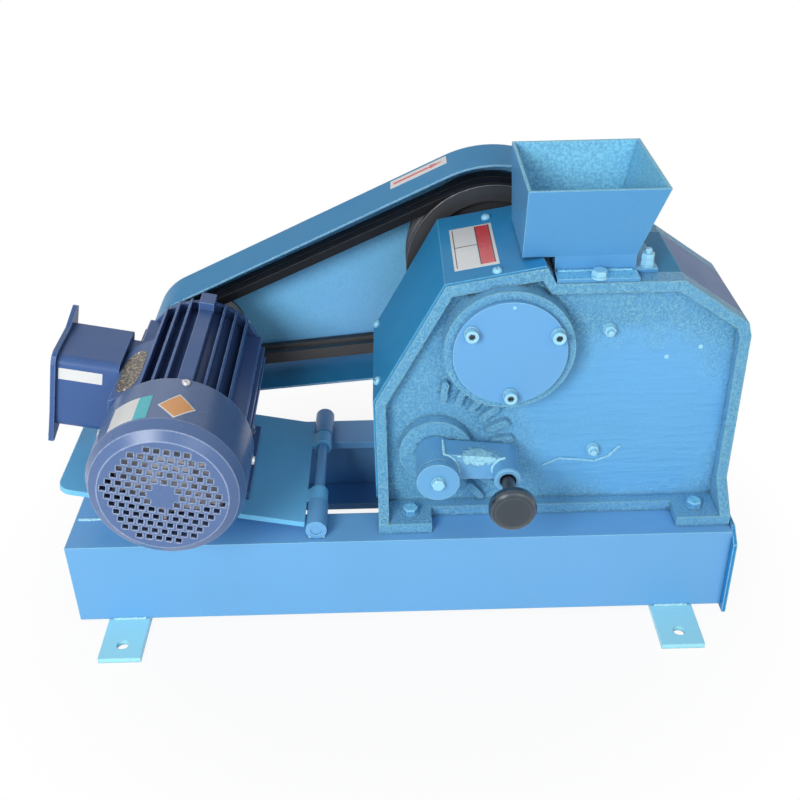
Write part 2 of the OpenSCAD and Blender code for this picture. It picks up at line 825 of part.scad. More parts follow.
// Four-sided sheet hopper: a tapered mouth over a straight throat with a flange
module hopper() {
    mouth_y0 = (body_y0 + body_y1 - hopper_d) / 2;
    throat_d = inner_y1 - inner_y0;
    skirt_z = deck_z + roof_rise + sheet_t + seat;
    t = hopper_t;
    color(blue) translate([hopper_x, inner_y0, skirt_z])
        cube([throat_x0 + t - hopper_x, throat_d, t]);
    color(blue) difference() {
        union() {
            hull() {
                translate([hopper_x, mouth_y0, hopper_z - 0.1])
                    cube([hopper_l, hopper_d, 0.1]);
                translate([hopper_x, inner_y0, skirt_z]) cube([throat_l, throat_d, 0.1]);
            }
            translate([throat_x0, inner_y0, deck_z])
                cube([throat_x1 - throat_x0, throat_d, skirt_z - deck_z + 0.05]);
            translate([throat_x0, body_y0 + 1, deck_z])
                cube([throat_x1 - throat_x0 + 1, body_d - 2, hopper_flange_t]);
            translate([throat_x1 - 4, inner_y0, deck_z]) cube([26, 60, hopper_flange_t]);
        }
        hull() {
            translate([hopper_x + t, mouth_y0 + t, hopper_z])
                cube([hopper_l - 2 * t, hopper_d - 2 * t, 0.1]);
            translate([hopper_x + t, inner_y0 + t, skirt_z])
                cube([throat_l - 2 * t, throat_d - 2 * t, 0.1]);
        }
        translate([throat_x0 + t, inner_y0 + t, deck_z - 1])
            cube([throat_x1 - throat_x0 - 2 * t, throat_d - 2 * t, skirt_z - deck_z + 2]);
    }
}

// ------------------------------------------------------------------- jaws

jaw_back_x = throat_x1 - hopper_t + 1 + jaw_t + tooth_h;
jaw_z0 = base_top + 34;
jaw_z1 = deck_z - 6;
jaw_low_x = jaw_back_x - jaw_t - tooth_h - jaw_gap - tooth_h;

// Ribbed face of a jaw plate: vertical teeth along its length
module tooth_row(l, w, t) {
    n = 8;
    pitch = w / n;
    linear_extrude(l) polygon(concat([[0, 0]], [for (i = [0 : n - 1]) each
        [[t, i * pitch], [t + tooth_h, (i + 0.5) * pitch]]], [[t, w], [0, w]]));
}

// Fixed jaw plate against the end wall
module fixed_jaw() {
    y1 = inner_y1 - 0.5;
    color([0.45, 0.44, 0.43]) translate([jaw_back_x, y1, jaw_z0]) rotate([0, 0, 180])
        tooth_row(jaw_z1 - jaw_z0, y1 - inner_y0 - 0.5, jaw_t);
}

// Swing jaw: the casting hung on the eccentric shaft, with its toothed face
module swing_jaw() {
    x_top = shaft_x + 58;
    z_top = deck_z - 8;
    lean = atan2(jaw_low_x - x_top, z_top - jaw_z0);
    y0 = inner_y0 + cheek_t + 1;
    y1 = inner_y1 - cheek_t - 1;
    color([0.40, 0.46, 0.52]) difference() {
        union() {
            along_y(y0, y1) {
                translate([shaft_x, shaft_z]) circle(swing_r);
                polygon([[shaft_x + 6, shaft_z + swing_r - 1], [x_top - jaw_t, z_top],
                    [x_top, z_top], [jaw_low_x, jaw_z0], [jaw_low_x - jaw_t - 24, jaw_z0],
                    [jaw_low_x - jaw_t - 30, jaw_z0 + 50], [shaft_x + 12, shaft_z - swing_r + 4]]);
            }
            translate([jaw_low_x - 1, y0, jaw_z0]) rotate([0, -lean, 0])
                tooth_row((z_top - jaw_z0) / cos(lean) - 1, y1 - y0, 1);
        }
        rod_y(shaft_x, shaft_z, swing_r - 12, y0 - 1, y1 + 1);
    }
}

// Toggle plate between the adjuster shaft and the swing jaw's heel
module toggle_plate() {
    x1 = jaw_low_x - jaw_t - 24 - 6;
    z1 = jaw_z0 + 24;
    w = 7;
    a = atan2(z1 - adj_z, x1 - adj_x);
    start = adj_shaft_d / 2 + seat;
    l = norm([x1 - adj_x, z1 - adj_z]) - start;
    color([0.42, 0.42, 0.42]) along_y(inner_y0 + 12, inner_y1 - 12)
        translate([adj_x, adj_z]) rotate(a) translate([start, -w / 2]) square([l, w]);
}

// Cheek plate that lines one side of the chamber
module cheek_plate(side) {
    x0 = shaft_x + swing_r + 6;
    x1 = jaw_back_x - jaw_t - 5;
    color([0.45, 0.44, 0.43]) translate([0, side * (body_y0 + body_y1), 0])
        mirror([0, side, 0]) along_y(inner_y0, inner_y0 + cheek_t)
        polygon([[x0, jaw_z1], [x1, jaw_z1], [x1, jaw_z0], [x1 - 44, jaw_z0],
            [x0, shaft_z - 60]]);
}

// Eccentric shaft from the front bearing to the drive wheel
module eccentric_shaft() {
    r = shaft_d / 2;
    big = swing_r - 12 - seat;
    y0 = body_y0 - boss_out + 4;
    color("silver") revolve_y(shaft_x, shaft_z, [[0, y0], [r, y0], [r, inner_y0 + 3],
        [big, inner_y0 + 3],
        [big, inner_y1 - 3], [r, inner_y1 - 3], [r, wheel_y0 - 4], [wheel_bore_r, wheel_y0 - 4],
        [wheel_bore_r, wheel_y1], [0, wheel_y1]]);
}

// Front bearing cover: a flat round plate on the cast boss
module front_bearing_cover() {
    y = body_y0 - boss_out;
    color(blue) rod_y(shaft_x, shaft_z, bearing_cover_d / 2, y - bearing_cover_t, y);
}

// Rear bearing cover with the shaft's hole
module rear_bearing_cover() {
    y = body_y1 + boss_out;
    color(blue) difference() {
        rod_y(shaft_x, shaft_z, bearing_cover_d / 2, y, y + bearing_cover_t);
        rod_y(shaft_x, shaft_z, shaft_d / 2 + 1, y - 1, y + bearing_cover_t + 1);
    }
}

// --------------------------------------------------------------- adjuster

// Cross shaft that the adjuster arm turns
module adjuster_shaft() {
    color("silver") rod_y(adj_x, adj_z, adj_shaft_d / 2, adj_front_y + 6, body_y1 - 1);
}

// Boss with its end cap, welded arm and plunger barrel
module adjuster_arm() {
    r = adj_boss_d / 2;
    barrel_r = barrel_d / 2;
    y0 = adj_front_y;
    y1 = y0 + barrel_l;
    color(blue) translate([adj_x, 0, adj_z]) difference() {
        union() {
            rod_y(0, 0, r, y0, adj_boss_y);
            revolve_y(adj_arm, 0, [[0, y0], [barrel_r - 1.5, y0], [barrel_r, y0 + 1.5],
                [barrel_r, y1], [0, y1]]);
            along_y(y0 + 20, y1) polygon([[0, r - 0.5], [adj_arm, barrel_r - 0.5],
                [adj_arm, 2 - barrel_r], [0, 12 - r]]);
        }
        revolve_y(0, 0, [[r - 0.8, y0 + 8], [r + 1, y0 + 8], [r + 1, y0 + 9.2], [r - 0.8, y0 + 9.2]]);
        rod_y(0, 0, adj_shaft_d / 2 + fit, y0 + 6 - fit, adj_boss_y + 1);
        rod_y(adj_arm, 0, plunger_r + fit, y0 - 1, y1 + 1);
        rod_y(adj_arm, 0, plunger_r + 2, y0 - 1, y0 + 6);
    }
}

// Spring plunger in the barrel, with a thinner tip that drops between the ribs
module plunger() {
    y1 = wall_y0 - rib_h - 2;
    color([0.2, 0.2, 0.22]) revolve_y(plunger_x, adj_z, [[0, adj_front_y - 26],
        [plunger_r, adj_front_y - 26], [plunger_r, y1 - 7], [plunger_r - 2, y1 - 5],
        [plunger_r - 2, y1], [0, y1]]);
}

// Round knob on the plunger, with a conical neck
module plunger_knob() {
    r = knob_d / 2;
    y0 = adj_front_y - 26;
    color([0.1, 0.1, 0.1]) revolve_y(plunger_x, adj_z, [[0, y0 - 26], [r - 6, y0 - 26],
        [r - 2, y0 - 24.5], [r, y0 - 21], [r, y0 - 15], [r - 3, y0 - 11], [plunger_r + 4, y0 - 9],
        [plunger_r + 1, y0], [0, y0]]);
}

// ------------------------------------------------------------------- nodes

front_channel();
rear_channel();
left_cross_member();
bearer_left();
bearer_right();
end_plate();
foot_tab(-tab_x, 0);  // foot_tab_front_left
foot_tab(tab_x, 0);  // foot_tab_front_right
foot_tab(-tab_x, 1);  // foot_tab_rear_left
foot_tab(tab_x, 1);  // foot_tab_rear_right
hinge_bush(0);  // hinge_bush_front
hinge_bush(1);  // hinge_bush_rear
hinge_rod();
motor_plate();
motor_frame();
motor_end_shield();
motor_fan_cover();
motor_fan();
motor_shaft();
terminal_box();
terminal_box_lid();
motor_pulley();
belt_near();
belt_far();
guard_strip();
guard_back_panel();
guard_bracket();
front_side_frame();
rear_side_frame();
end_wall();
cover_sheet();
hopper();
fixed_jaw();
swing_jaw();
toggle_plate();
cheek_plate(0);  // cheek_plate_front
cheek_plate(1);  // cheek_plate_rear
eccentric_shaft();
drive_wheel();
front_bearing_cover();
rear_bearing_cover();
adjuster_shaft();
adjuster_arm();
plunger();
plunger_knob();
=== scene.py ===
"""Finishes and small hardware of a laboratory jaw crusher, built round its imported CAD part.

The CAD nodes keep their shape and get painted, cast, turned and rubber finishes. What the
CAD part leaves out is built here: bolts, studs, screws, weld beads and blank labels.
Lengths are metres unless a name or a docstring says mm, and places come from the boxes of
the CAD nodes.
"""

import logging
import math
from collections.abc import Callable, Sequence
from dataclasses import dataclass, field
from enum import Enum

import bmesh
import bpy
from mathutils import Matrix, Vector


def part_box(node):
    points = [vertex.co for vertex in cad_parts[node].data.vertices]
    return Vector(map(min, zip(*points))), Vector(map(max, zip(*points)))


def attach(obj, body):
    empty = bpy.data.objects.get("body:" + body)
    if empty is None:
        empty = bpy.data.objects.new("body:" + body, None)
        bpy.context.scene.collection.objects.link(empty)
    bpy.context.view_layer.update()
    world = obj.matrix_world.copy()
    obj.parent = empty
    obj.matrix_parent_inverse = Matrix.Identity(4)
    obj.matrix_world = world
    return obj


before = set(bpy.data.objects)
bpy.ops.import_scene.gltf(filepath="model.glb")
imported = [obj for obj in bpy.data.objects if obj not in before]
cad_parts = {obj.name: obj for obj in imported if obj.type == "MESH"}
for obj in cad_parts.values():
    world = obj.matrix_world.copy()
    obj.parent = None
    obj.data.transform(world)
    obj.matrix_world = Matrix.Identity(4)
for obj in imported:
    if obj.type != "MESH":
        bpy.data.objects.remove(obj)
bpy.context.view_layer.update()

LOG = logging.getLogger("jaw_crusher")
MM = 0.001

Colour = tuple[float, float, float, float]
Triple = tuple[float, float, float]
Pair = tuple[float, float]
Socket = bpy.types.NodeSocket
Value = bpy.types.NodeSocket | bpy.types.Node | float | int | tuple | str


class Body(Enum):
    """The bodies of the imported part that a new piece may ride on."""

    BASE = "base"
    DRIVE = "drive"
    MOTOR_ROTOR = "motor_rotor"
    ADJUSTER = "adjuster"


class Slot(Enum):
    """Names of material slots, passed along with the new pieces but not read."""

    FRAME = "frame_paint"
    CASTING = "casting_paint"
    MOTOR = "motor_paint"
    STEEL = "bright_steel"


# ------------------------------------------------------------------ node trees


class Graph:
    """Adds nodes to one node tree and joins them up."""

    def __init__(self, tree: bpy.types.NodeTree) -> None:
        """Empties the tree and keeps it."""
        self.tree = tree
        tree.nodes.clear()

    def feed(self, socket: Socket, value: Value) -> None:
        """Links something to an input, or sets the input's own value.

        Args:
            socket: The input.
            value: A socket, a node whose first output is meant, or a plain value.
        """
        if isinstance(value, bpy.types.Node):
            value = value.outputs[0]
        if isinstance(value, Socket):
            self.tree.links.new(value, socket)
        else:
            socket.default_value = value

    def add(
        self, kind: str, inputs: dict[str | int, Value] | None = None, **settings: object
    ) -> bpy.types.Node:
        """Adds one node.

        Args:
            kind: The node's type name.
            inputs: Values or sockets for its inputs, by name or number.
            settings: Attributes of the node, set before its inputs.

        Returns:
            The new node.
        """
        made = self.tree.nodes.new(kind)
        for name, setting in settings.items():
            setattr(made, name, setting)
        for key, value in (inputs or {}).items():
            self.feed(made.inputs[key], value)
        return made

    def math(self, operation: str, *values: Value) -> Socket:
        """Adds a Math node and returns its output."""
        inputs = dict(enumerate(values))
        return self.add("ShaderNodeMath", inputs, operation=operation).outputs[0]

    def noise(self, vector: Value, scale: Value, detail: float = 2.0, rough: float = 0.5) -> Socket:
        """Adds a noise texture and returns its value, from 0 to 1."""
        inputs = {"Vector": vector, "Scale": scale, "Detail": detail, "Roughness": rough}
        return self.add("ShaderNodeTexNoise", inputs).outputs[0]

    def remap(self, value: Value, *limits: Value) -> Socket:
        """Adds a clamped Map Range by its from and to limits, and returns its output."""
        return self.add("ShaderNodeMapRange", dict(enumerate((value, *limits)))).outputs[0]

    def mix(self, factor: Value, first: Value, second: Value) -> Socket:
        """Adds a colour mix, first at 0 and second at 1, and returns its output."""
        inputs = {0: factor, 6: first, 7: second}
        return self.add("ShaderNodeMix", data_type="RGBA", inputs=inputs).outputs[2]

    def height(self, vector: Value) -> Socket:
        """Returns the Z of a vector."""
        return self.add("ShaderNodeSeparateXYZ", {0: vector}).outputs[2]

    def length(self, vector: Value) -> Socket:
        """Returns the length of a vector."""
        return self.add("ShaderNodeVectorMath", {0: vector}, operation="LENGTH").outputs["Value"]


class Effect(Enum):
    """The shader node groups that several finishes share."""

    PAINT_TONE = "Paint Tone"
    SURFACE_SKIN = "Surface Skin"
    SOFT_EDGE = "Soft Edge"
    TURNED_RINGS = "Turned Rings"
    FACING_UP = "Facing Up"
    SETTLED_DUST = "Settled Dust"
    RAGGED_AREA = "Ragged Area"


@dataclass(frozen=True)
class Port:
    """One socket of a node group."""

    name: str
    kind: str = "NodeSocketFloat"
    default: float | tuple | None = None

    def open(self, tree: bpy.types.NodeTree, side: str) -> None:
        """Makes the socket on a tree.

        Args:
            tree: The group's tree.
            side: INPUT or OUTPUT.
        """
        socket = tree.interface.new_socket(name=self.name, in_out=side, socket_type=self.kind)
        if self.default is not None:
            socket.default_value = self.default


def scalar(name: str, default: float | None = None) -> Port:
    """Returns a socket for a number."""
    return Port(name, default=default)


VECTOR = Port("Vector", "NodeSocketVector")
COLOUR = Port("Color", "NodeSocketColor")
GEOMETRY = Port("Geometry", "NodeSocketGeometry")
FINISH = Port("Finish", "NodeSocketMaterial")
SEED = Port("Seed", "NodeSocketInt", 1)


class EffectShop:
    """Builds each shared shader node group once, and places it in materials."""

    def _group(
        self, effect: Effect, inputs: Sequence[Port], outputs: Sequence[Port]
    ) -> tuple[Graph, bpy.types.NodeOutputs, bpy.types.NodeInputs]:
        """Starts a group with its sockets.

        Args:
            effect: Which group this is.
            inputs: The sockets on its left.
            outputs: The sockets on its right.

        Returns:
            The group's graph, what it is given and what it puts out.
        """
        tree = bpy.data.node_groups.new(effect.value, "ShaderNodeTree")
        for ports, side in ((inputs, "INPUT"), (outputs, "OUTPUT")):
            for port in ports:
                port.open(tree, side)
        graph = Graph(tree)
        return graph, graph.add("NodeGroupInput").outputs, graph.add("NodeGroupOutput").inputs

    def _paint_tone(self) -> None:
        """Paint whose shade drifts in large soft patches and in fine flecks."""
        sockets = [VECTOR, COLOUR, scalar("Patch Scale", 9.0), scalar("Spread", 0.15)]
        graph, given, out = self._group(
            Effect.PAINT_TONE, [*sockets, scalar("Fleck", 0.05)], [COLOUR]
        )
        patch = graph.noise(given["Vector"], given["Patch Scale"], 3.0)
        fleck = graph.noise(given["Vector"], 420.0, 2.0, 0.7)
        drift = graph.math("MULTIPLY", graph.math("SUBTRACT", patch, 0.5), given["Spread"])
        grain = graph.math("MULTIPLY", graph.math("SUBTRACT", fleck, 0.5), given["Fleck"])
        value = graph.math("ADD", graph.math("ADD", drift, grain), 1.0)
        hue = graph.math("MULTIPLY_ADD", drift, 0.06, 0.5)
        tinted = {"Hue": hue, "Value": value, "Color": given["Color"]}
        graph.feed(out["Color"], graph.add("ShaderNodeHueSaturation", tinted))

    def _surface_skin(self) -> None:
        """Height of a painted skin, fine peel over coarser lumps, and where the lumps peak."""
        scales = [scalar("Fine Scale", 900.0), scalar("Coarse Scale", 250.0)]
        graph, given, out = self._group(
            Effect.SURFACE_SKIN,
            [VECTOR, *scales, scalar("Coarse Share", 0.5)],
            [scalar("Height"), scalar("Peaks")],
        )
        fine = graph.noise(given["Vector"], given["Fine Scale"], 2.0, 0.55)
        coarse = graph.noise(given["Vector"], given["Coarse Scale"], 3.0, 0.65)
        lumps = graph.math("MULTIPLY", coarse, given["Coarse Share"])
        graph.feed(out["Height"], graph.math("MULTIPLY_ADD", fine, 0.4, lumps))
        # The peaks fade towards one middle value in large soft areas.
        middle = 0.45
        area = graph.remap(graph.noise(given["Vector"], 32.0, 3.0), 0.35, 0.62, middle, 1.0)
        peaks = graph.math("SUBTRACT", graph.remap(coarse, 0.36, 0.66), middle)
        graph.feed(out["Peaks"], graph.math("MULTIPLY_ADD", peaks, area, middle))

    def _soft_edge(self) -> None:
        """Normal rounded at the edges, a mask of the outer edges and a mask of the crevices: most
        finishes paint a highlight along the edge mask, and the enamels paint shade into the
        crevices.
        """
        graph, given, out = self._group(
            Effect.SOFT_EDGE,
            [scalar("Radius", 0.0012), VECTOR],
            [Port("Normal", VECTOR.kind), scalar("Mask"), scalar("Crevice")],
        )
        bevel = graph.add("ShaderNodeBevel", {"Radius": given["Radius"]}, samples=4).outputs[0]
        normal = graph.add("ShaderNodeNewGeometry").outputs["Normal"]
        inputs = {0: bevel, 1: normal}
        product = graph.add("ShaderNodeVectorMath", inputs, operation="DOT_PRODUCT")
        turn = graph.math("SUBTRACT", 1.0, product.outputs["Value"])
        edge_breakup = graph.remap(graph.noise(given["Vector"], 160.0, 3.0), 0.25, 0.7, 0.65, 1.0)
        shade = graph.add("ShaderNodeAmbientOcclusion", {"Distance": 0.007}, samples=6)
        open_side = graph.remap(shade.outputs["AO"], 0.55, 0.8)
        mask = graph.math("MULTIPLY", graph.remap(turn, 0.004, 0.07), edge_breakup)
        graph.feed(out["Normal"], bevel)
        graph.feed(out["Mask"], graph.math("MULTIPLY", mask, open_side))
        graph.feed(out["Crevice"], graph.remap(shade.outputs["AO"], 0.35, 0.72, 1.0, 0.0))

    def _turned_rings(self) -> None:
        """Fine rings that a lathe leaves round the local Y axis."""
        graph, given, out = self._group(
            Effect.TURNED_RINGS,
            [VECTOR, scalar("Pitch", 0.0009)],
            [scalar("Height"), scalar("Streak")],
        )
        x, y, z = graph.add("ShaderNodeSeparateXYZ", {0: given["Vector"]}).outputs
        square = [graph.math("MULTIPLY", part, part) for part in (x, z)]
        radius = graph.math("SQRT", graph.math("ADD", *square))
        turn = graph.math("MULTIPLY", graph.math("ADD", radius, y), math.tau)
        wave = graph.math("SINE", graph.math("DIVIDE", turn, given["Pitch"]))
        streak = graph.noise(graph.add("ShaderNodeCombineXYZ", {0: radius, 1: y}), 380.0, 3.0, 0.7)
        graph.feed(out["Height"], graph.math("MULTIPLY_ADD", wave, 0.3, streak))
        graph.feed(out["Streak"], streak)

    def _facing_up(self) -> None:
        """Mask of the faces that look up: 0 below Low and 1 above High, by the normal's Z."""
        limits = [scalar("Low", 0.35), scalar("High", 0.95)]
        graph, given, out = self._group(Effect.FACING_UP, limits, [scalar("Mask")])
        up = graph.height(graph.add("ShaderNodeNewGeometry").outputs["Normal"])
        graph.feed(out["Mask"], graph.remap(up, given["Low"], given["High"]))

    def _settled_dust(self) -> None:
        """Mask of the faces that look up, broken by noise."""
        graph, given, out = self._group(
            Effect.SETTLED_DUST, [VECTOR, scalar("Amount", 0.2)], [scalar("Mask")]
        )
        cloud = graph.remap(graph.noise(given["Vector"], 34.0, 4.0, 0.6), 0.35, 0.75)
        facing = self.place(graph, Effect.FACING_UP, {})
        mask = graph.math("MULTIPLY", graph.math("MULTIPLY", facing, cloud), given["Amount"])
        graph.feed(out["Mask"], mask)

    def _ragged_area(self) -> None:
        """Distance out of an ellipsoid's middle, 1 at its skin, made ragged, and its local Y."""
        shape = [Port(name, VECTOR.kind) for name in ("Location", "Scale")]
        graph, given, out = self._group(
            Effect.RAGGED_AREA,
            [VECTOR, *shape, scalar("Noise Scale", 26.0), scalar("Ragged", 0.7)],
            [scalar("Reach"), scalar("Across")],
        )
        wanted = ("Vector", "Location", "Scale")
        local = graph.add("ShaderNodeMapping", {name: given[name] for name in wanted})
        noise = graph.noise(given["Vector"], given["Noise Scale"], 4.0)
        reach = graph.math("MULTIPLY_ADD", noise, given["Ragged"], graph.length(local))
        graph.feed(out["Reach"], reach)
        graph.feed(out["Across"], graph.add("ShaderNodeSeparateXYZ", {0: local}).outputs[1])

    def place(self, graph: Graph, effect: Effect, inputs: dict[str, Value]) -> bpy.types.Node:
        """Places a group in a graph.

        Args:
            graph: The graph of a material or of another group.
            effect: The group to place, built at its first use.
            inputs: Values or sockets for the group's inputs.

        Returns:
            The group's node.
        """
        if effect.value not in bpy.data.node_groups:
            getattr(self, "_" + effect.name.lower())()
        tree = bpy.data.node_groups[effect.value]
        return graph.add("ShaderNodeGroup", inputs, node_tree=tree)

    def area(
        self, graph: Graph, place: Socket, at: Triple, size: Triple, noise: dict[str, float]
    ) -> bpy.types.Node:
        """Places a ragged area.

        Args:
            graph: The material's graph.
            place: The Object coordinates.
            at: The area's middle.
            size: Its half widths.
            noise: Its noise's scale and share, if they aren't the usual ones.

        Returns:
            The group's node.
        """
        shift, scale = tuple(-a / s for a, s in zip(at, size)), tuple(1 / s for s in size)
        inputs = {"Vector": place, "Location": shift, "Scale": scale, **noise}
        return self.place(graph, Effect.RAGGED_AREA, inputs)


EFFECTS = EffectShop()


# -------------------------------------------------------------------- finishes


@dataclass(frozen=True)
class Finish:
    """A procedural material; each kind of finish fills in its own shader."""

    name: str
    colour: Colour
    roughness: float = 0.4

    def material(self) -> bpy.types.Material:
        """Gives the finish's material, built at its first use.

        Returns:
            The material.
        """
        made = bpy.data.materials.get(self.name)
        if made is None:
            made = bpy.data.materials.new(self.name)
            made.use_nodes = True
            graph = Graph(made.node_tree)
            place = graph.add("ShaderNodeTexCoord").outputs["Object"]
            graph.add("ShaderNodeOutputMaterial", {"Surface": self.shade(graph, place)})
        return made

    def shade(self, graph: Graph, place: Socket) -> bpy.types.Node:
        """Builds the shader from the Object coordinates, and returns its node."""
        raise NotImplementedError

    def surface(
        self, graph: Graph, relief: tuple[Value, ...], inputs: dict[str, Value]
    ) -> bpy.types.Node:
        """Adds a Principled shader with a bumped normal.

        Args:
            graph: The material's graph.
            relief: The bump's distance and height, and the normal it starts from if any.
            inputs: The shader's other inputs.

        Returns:
            The shader's node.
        """
        bump = graph.add("ShaderNodeBump", dict(zip(("Distance", "Height", "Normal"), relief)))
        return graph.add("ShaderNodeBsdfPrincipled", {**inputs, "Normal": bump})


@dataclass(frozen=True)
class Enamel(Finish):
    """Sprayed or brushed enamel with its skin and settled dust, and painted light: highlights on
    its edges and bumps, shade in its crevices and pits.
    """

    spread: float = 0.16
    patch_scale: float = 7.0
    fleck: float = 0.06
    fine_scale: float = 700.0
    coarse_scale: float = 190.0
    coarse_share: float = 0.5
    depth: float = 0.00025
    # The colour of the painted highlight along the edges and on the bumps.
    highlight_colour: Colour = (0.42, 0.78, 0.95, 1.0)
    edge: float = 0.55
    edge_radius: float = 0.0013
    # Painted highlight on the skin's peaks and painted shade in its pits.
    bump_highlight_and_shade: float = 0.0
    dust: float = 0.03
    dust_colour: Colour = (0.62, 0.70, 0.74, 1.0)
    specular: float = 0.22
    # Painted shade in the crevices: how far their colour is darkened, and how fully.
    crevice_shade_factor: float = 0.42
    crevice_shade_share: float = 0.75

    def skin(self, graph: Graph, place: Socket) -> tuple[Socket, Socket]:
        """Builds the paint's skin.

        Args:
            graph: The material's graph.
            place: The Object coordinates.

        Returns:
            The height of the skin, and where it peaks.
        """
        inputs = {
            "Vector": place,
            "Fine Scale": self.fine_scale,
            "Coarse Scale": self.coarse_scale,
            "Coarse Share": self.coarse_share,
        }
        made = EFFECTS.place(graph, Effect.SURFACE_SKIN, inputs)
        return made.outputs["Height"], made.outputs["Peaks"]

    def ground(self, graph: Graph, place: Socket) -> Value:
        """Returns the paint's plain colour."""
        return self.colour

    def shade(self, graph: Graph, place: Socket) -> bpy.types.Node:
        """Builds the enamel's shader from its tone, dust and skin, with painted shade in the
        crevices, a painted highlight along the edges and, where set, painted light and shade on the
        bumps.

        Args:
            graph: The material's graph.
            place: The Object coordinates.

        Returns:
            The shader's node.
        """
        inputs = {
            "Vector": place,
            "Color": self.ground(graph, place),
            "Patch Scale": self.patch_scale,
            "Spread": self.spread,
            "Fleck": self.fleck,
        }
        colour = EFFECTS.place(graph, Effect.PAINT_TONE, inputs)
        inputs = {"Radius": self.edge_radius, "Vector": place}
        edge = EFFECTS.place(graph, Effect.SOFT_EDGE, inputs).outputs
        dust = EFFECTS.place(graph, Effect.SETTLED_DUST, {"Vector": place, "Amount": self.dust})
        height, peaks = self.skin(graph, place)
        # Painted shade: the colour darkens towards a shaded copy where the crevice mask finds
        # corners and joins.
        shaded_colour = (*(part * self.crevice_shade_factor for part in self.colour[:3]), 1.0)
        crevice_shade = graph.math("MULTIPLY", edge["Crevice"], self.crevice_shade_share)
        colour = graph.mix(crevice_shade, colour, shaded_colour)
        # Painted light on the bumps: peaks mixed towards the highlight colour, pits towards the
        # shaded copy.
        if self.bump_highlight_and_shade:
            pit_shade = graph.remap(peaks, 0.0, 0.35, 0.4 * self.bump_highlight_and_shade, 0.0)
            peak_highlight = graph.remap(peaks, 0.38, 0.82, 0.0, self.bump_highlight_and_shade)
            colour = graph.mix(peak_highlight, graph.mix(pit_shade, colour, shaded_colour), self.highlight_colour)
        # Painted highlight: the outer edges are mixed towards the highlight colour.
        edge_highlight = graph.math("MULTIPLY", edge["Mask"], self.edge)
        colour = graph.mix(dust, graph.mix(edge_highlight, colour, self.highlight_colour), self.dust_colour)
        haze = graph.noise(place, 22.0, 3.0)
        gloss = graph.math("MULTIPLY_ADD", haze, 0.18, self.roughness - 0.09)
        inputs = {
            "Base Color": colour,
            "Roughness": graph.math("MULTIPLY_ADD", dust, 0.4, gloss),
            "Specular IOR Level": self.specular,
        }
        return self.surface(graph, (self.depth, height, edge["Normal"]), inputs)


@dataclass(frozen=True)
class CastEnamel(Enamel):
    """Enamel over sand-cast iron: rough skin that a ground area interrupts."""

    smooth_at: Triple = (0.0, 0.0, 0.0)
    smooth_size: Triple = (1.0, 1.0, 1.0)
    smooth_half: float = 1.0
    smooth_share: float = 0.9
    smooth_peaks: float = 0.36
    # Painted highlight: the rough casting's paint is made paler than the smooth area's.
    rough_colour: Colour = (0.180, 0.560, 0.930, 1.0)
    stroke_scale: Triple = (9.0, 9.0, 60.0)
    stroke_height: float = 1.2
    stroke_share: float = 0.35

    def smooth(self, graph: Graph, place: Socket) -> Socket:
        """Builds the mask of the area that was filled and rubbed down, ragged at its rim.

        Args:
            graph: The material's graph.
            place: The Object coordinates.

        Returns:
            The mask.
        """
        area = EFFECTS.area(graph, place, self.smooth_at, self.smooth_size, {}).outputs
        depth = graph.math("MULTIPLY", graph.math("ABSOLUTE", area["Across"]), self.smooth_size[1])
        inner = graph.remap(depth, self.smooth_half, self.smooth_half + 2 * MM, 1.0, 0.0)
        inside = graph.remap(area["Reach"], 1.15, 1.5, self.smooth_share, 0.0)
        return graph.math("MULTIPLY", inside, inner)

    def ground(self, graph: Graph, place: Socket) -> Value:
        """Returns the paint's colour, paler where the casting is rough: a painted highlight on its
        rough rims and faces.
        """
        return graph.mix(self.smooth(graph, place), self.rough_colour, self.colour)

    def skin(self, graph: Graph, place: Socket) -> tuple[Socket, Socket]:
        """Fades the casting's skin to brushed filler inside the smooth area.

        Args:
            graph: The material's graph.
            place: The Object coordinates.

        Returns:
            The height of the skin, and where it peaks.
        """
        rough, peaks = super().skin(graph, place)
        inside = self.smooth(graph, place)
        left = graph.math("SUBTRACT", 1.0, inside)
        slow = graph.add("ShaderNodeMapping", {"Vector": place, "Scale": self.stroke_scale})
        strokes = graph.math("MULTIPLY", graph.noise(slow, 3.0, 3.0), self.stroke_height)
        share = graph.math("MULTIPLY", inside, self.stroke_share)
        height = graph.math("MULTIPLY_ADD", rough, left, graph.math("MULTIPLY", strokes, share))
        beyond = graph.math("SUBTRACT", peaks, self.smooth_peaks)
        return height, graph.math("MULTIPLY_ADD", beyond, left, self.smooth_peaks)


@dataclass(frozen=True)
class SheenedWallEnamel(CastEnamel):
    """Casting enamel whose colour below a height is a painted purple-grey sheen, with the deck's
    own paint above it.
    """

    top_colour: Colour = (0.5, 0.5, 0.5, 1.0)
    top_z: float = 0.3765

    def ground(self, graph: Graph, place: Socket) -> Value:
        """Returns the painted sheen below the height and the deck's paint above it."""
        above = graph.remap(graph.height(place), self.top_z - 1 * MM, self.top_z)
        return graph.mix(above, self.colour, self.top_colour)


@dataclass(frozen=True)
class UpLitEnamel(Enamel):
    """Enamel with painted light: paler on the faces that lean upwards, where more light falls."""

    upward_light_colour: Colour = (0.26, 0.72, 0.95, 1.0)
    lean: Pair = (0.05, 0.3)

    def ground(self, graph: Graph, place: Socket) -> Value:
        """Builds the paint's colour, with painted light where it faces up.

        Args:
            graph: The material's graph.
            place: The Object coordinates.

        Returns:
            The colour.
        """
        up = EFFECTS.place(graph, Effect.FACING_UP, dict(zip(("Low", "High"), self.lean)))
        grain = graph.remap(graph.noise(place, 380.0, 3.0), 0.36, 0.64, 0.35, 1.0)
        return graph.mix(graph.math("MULTIPLY", up, grain), self.colour, self.upward_light_colour)


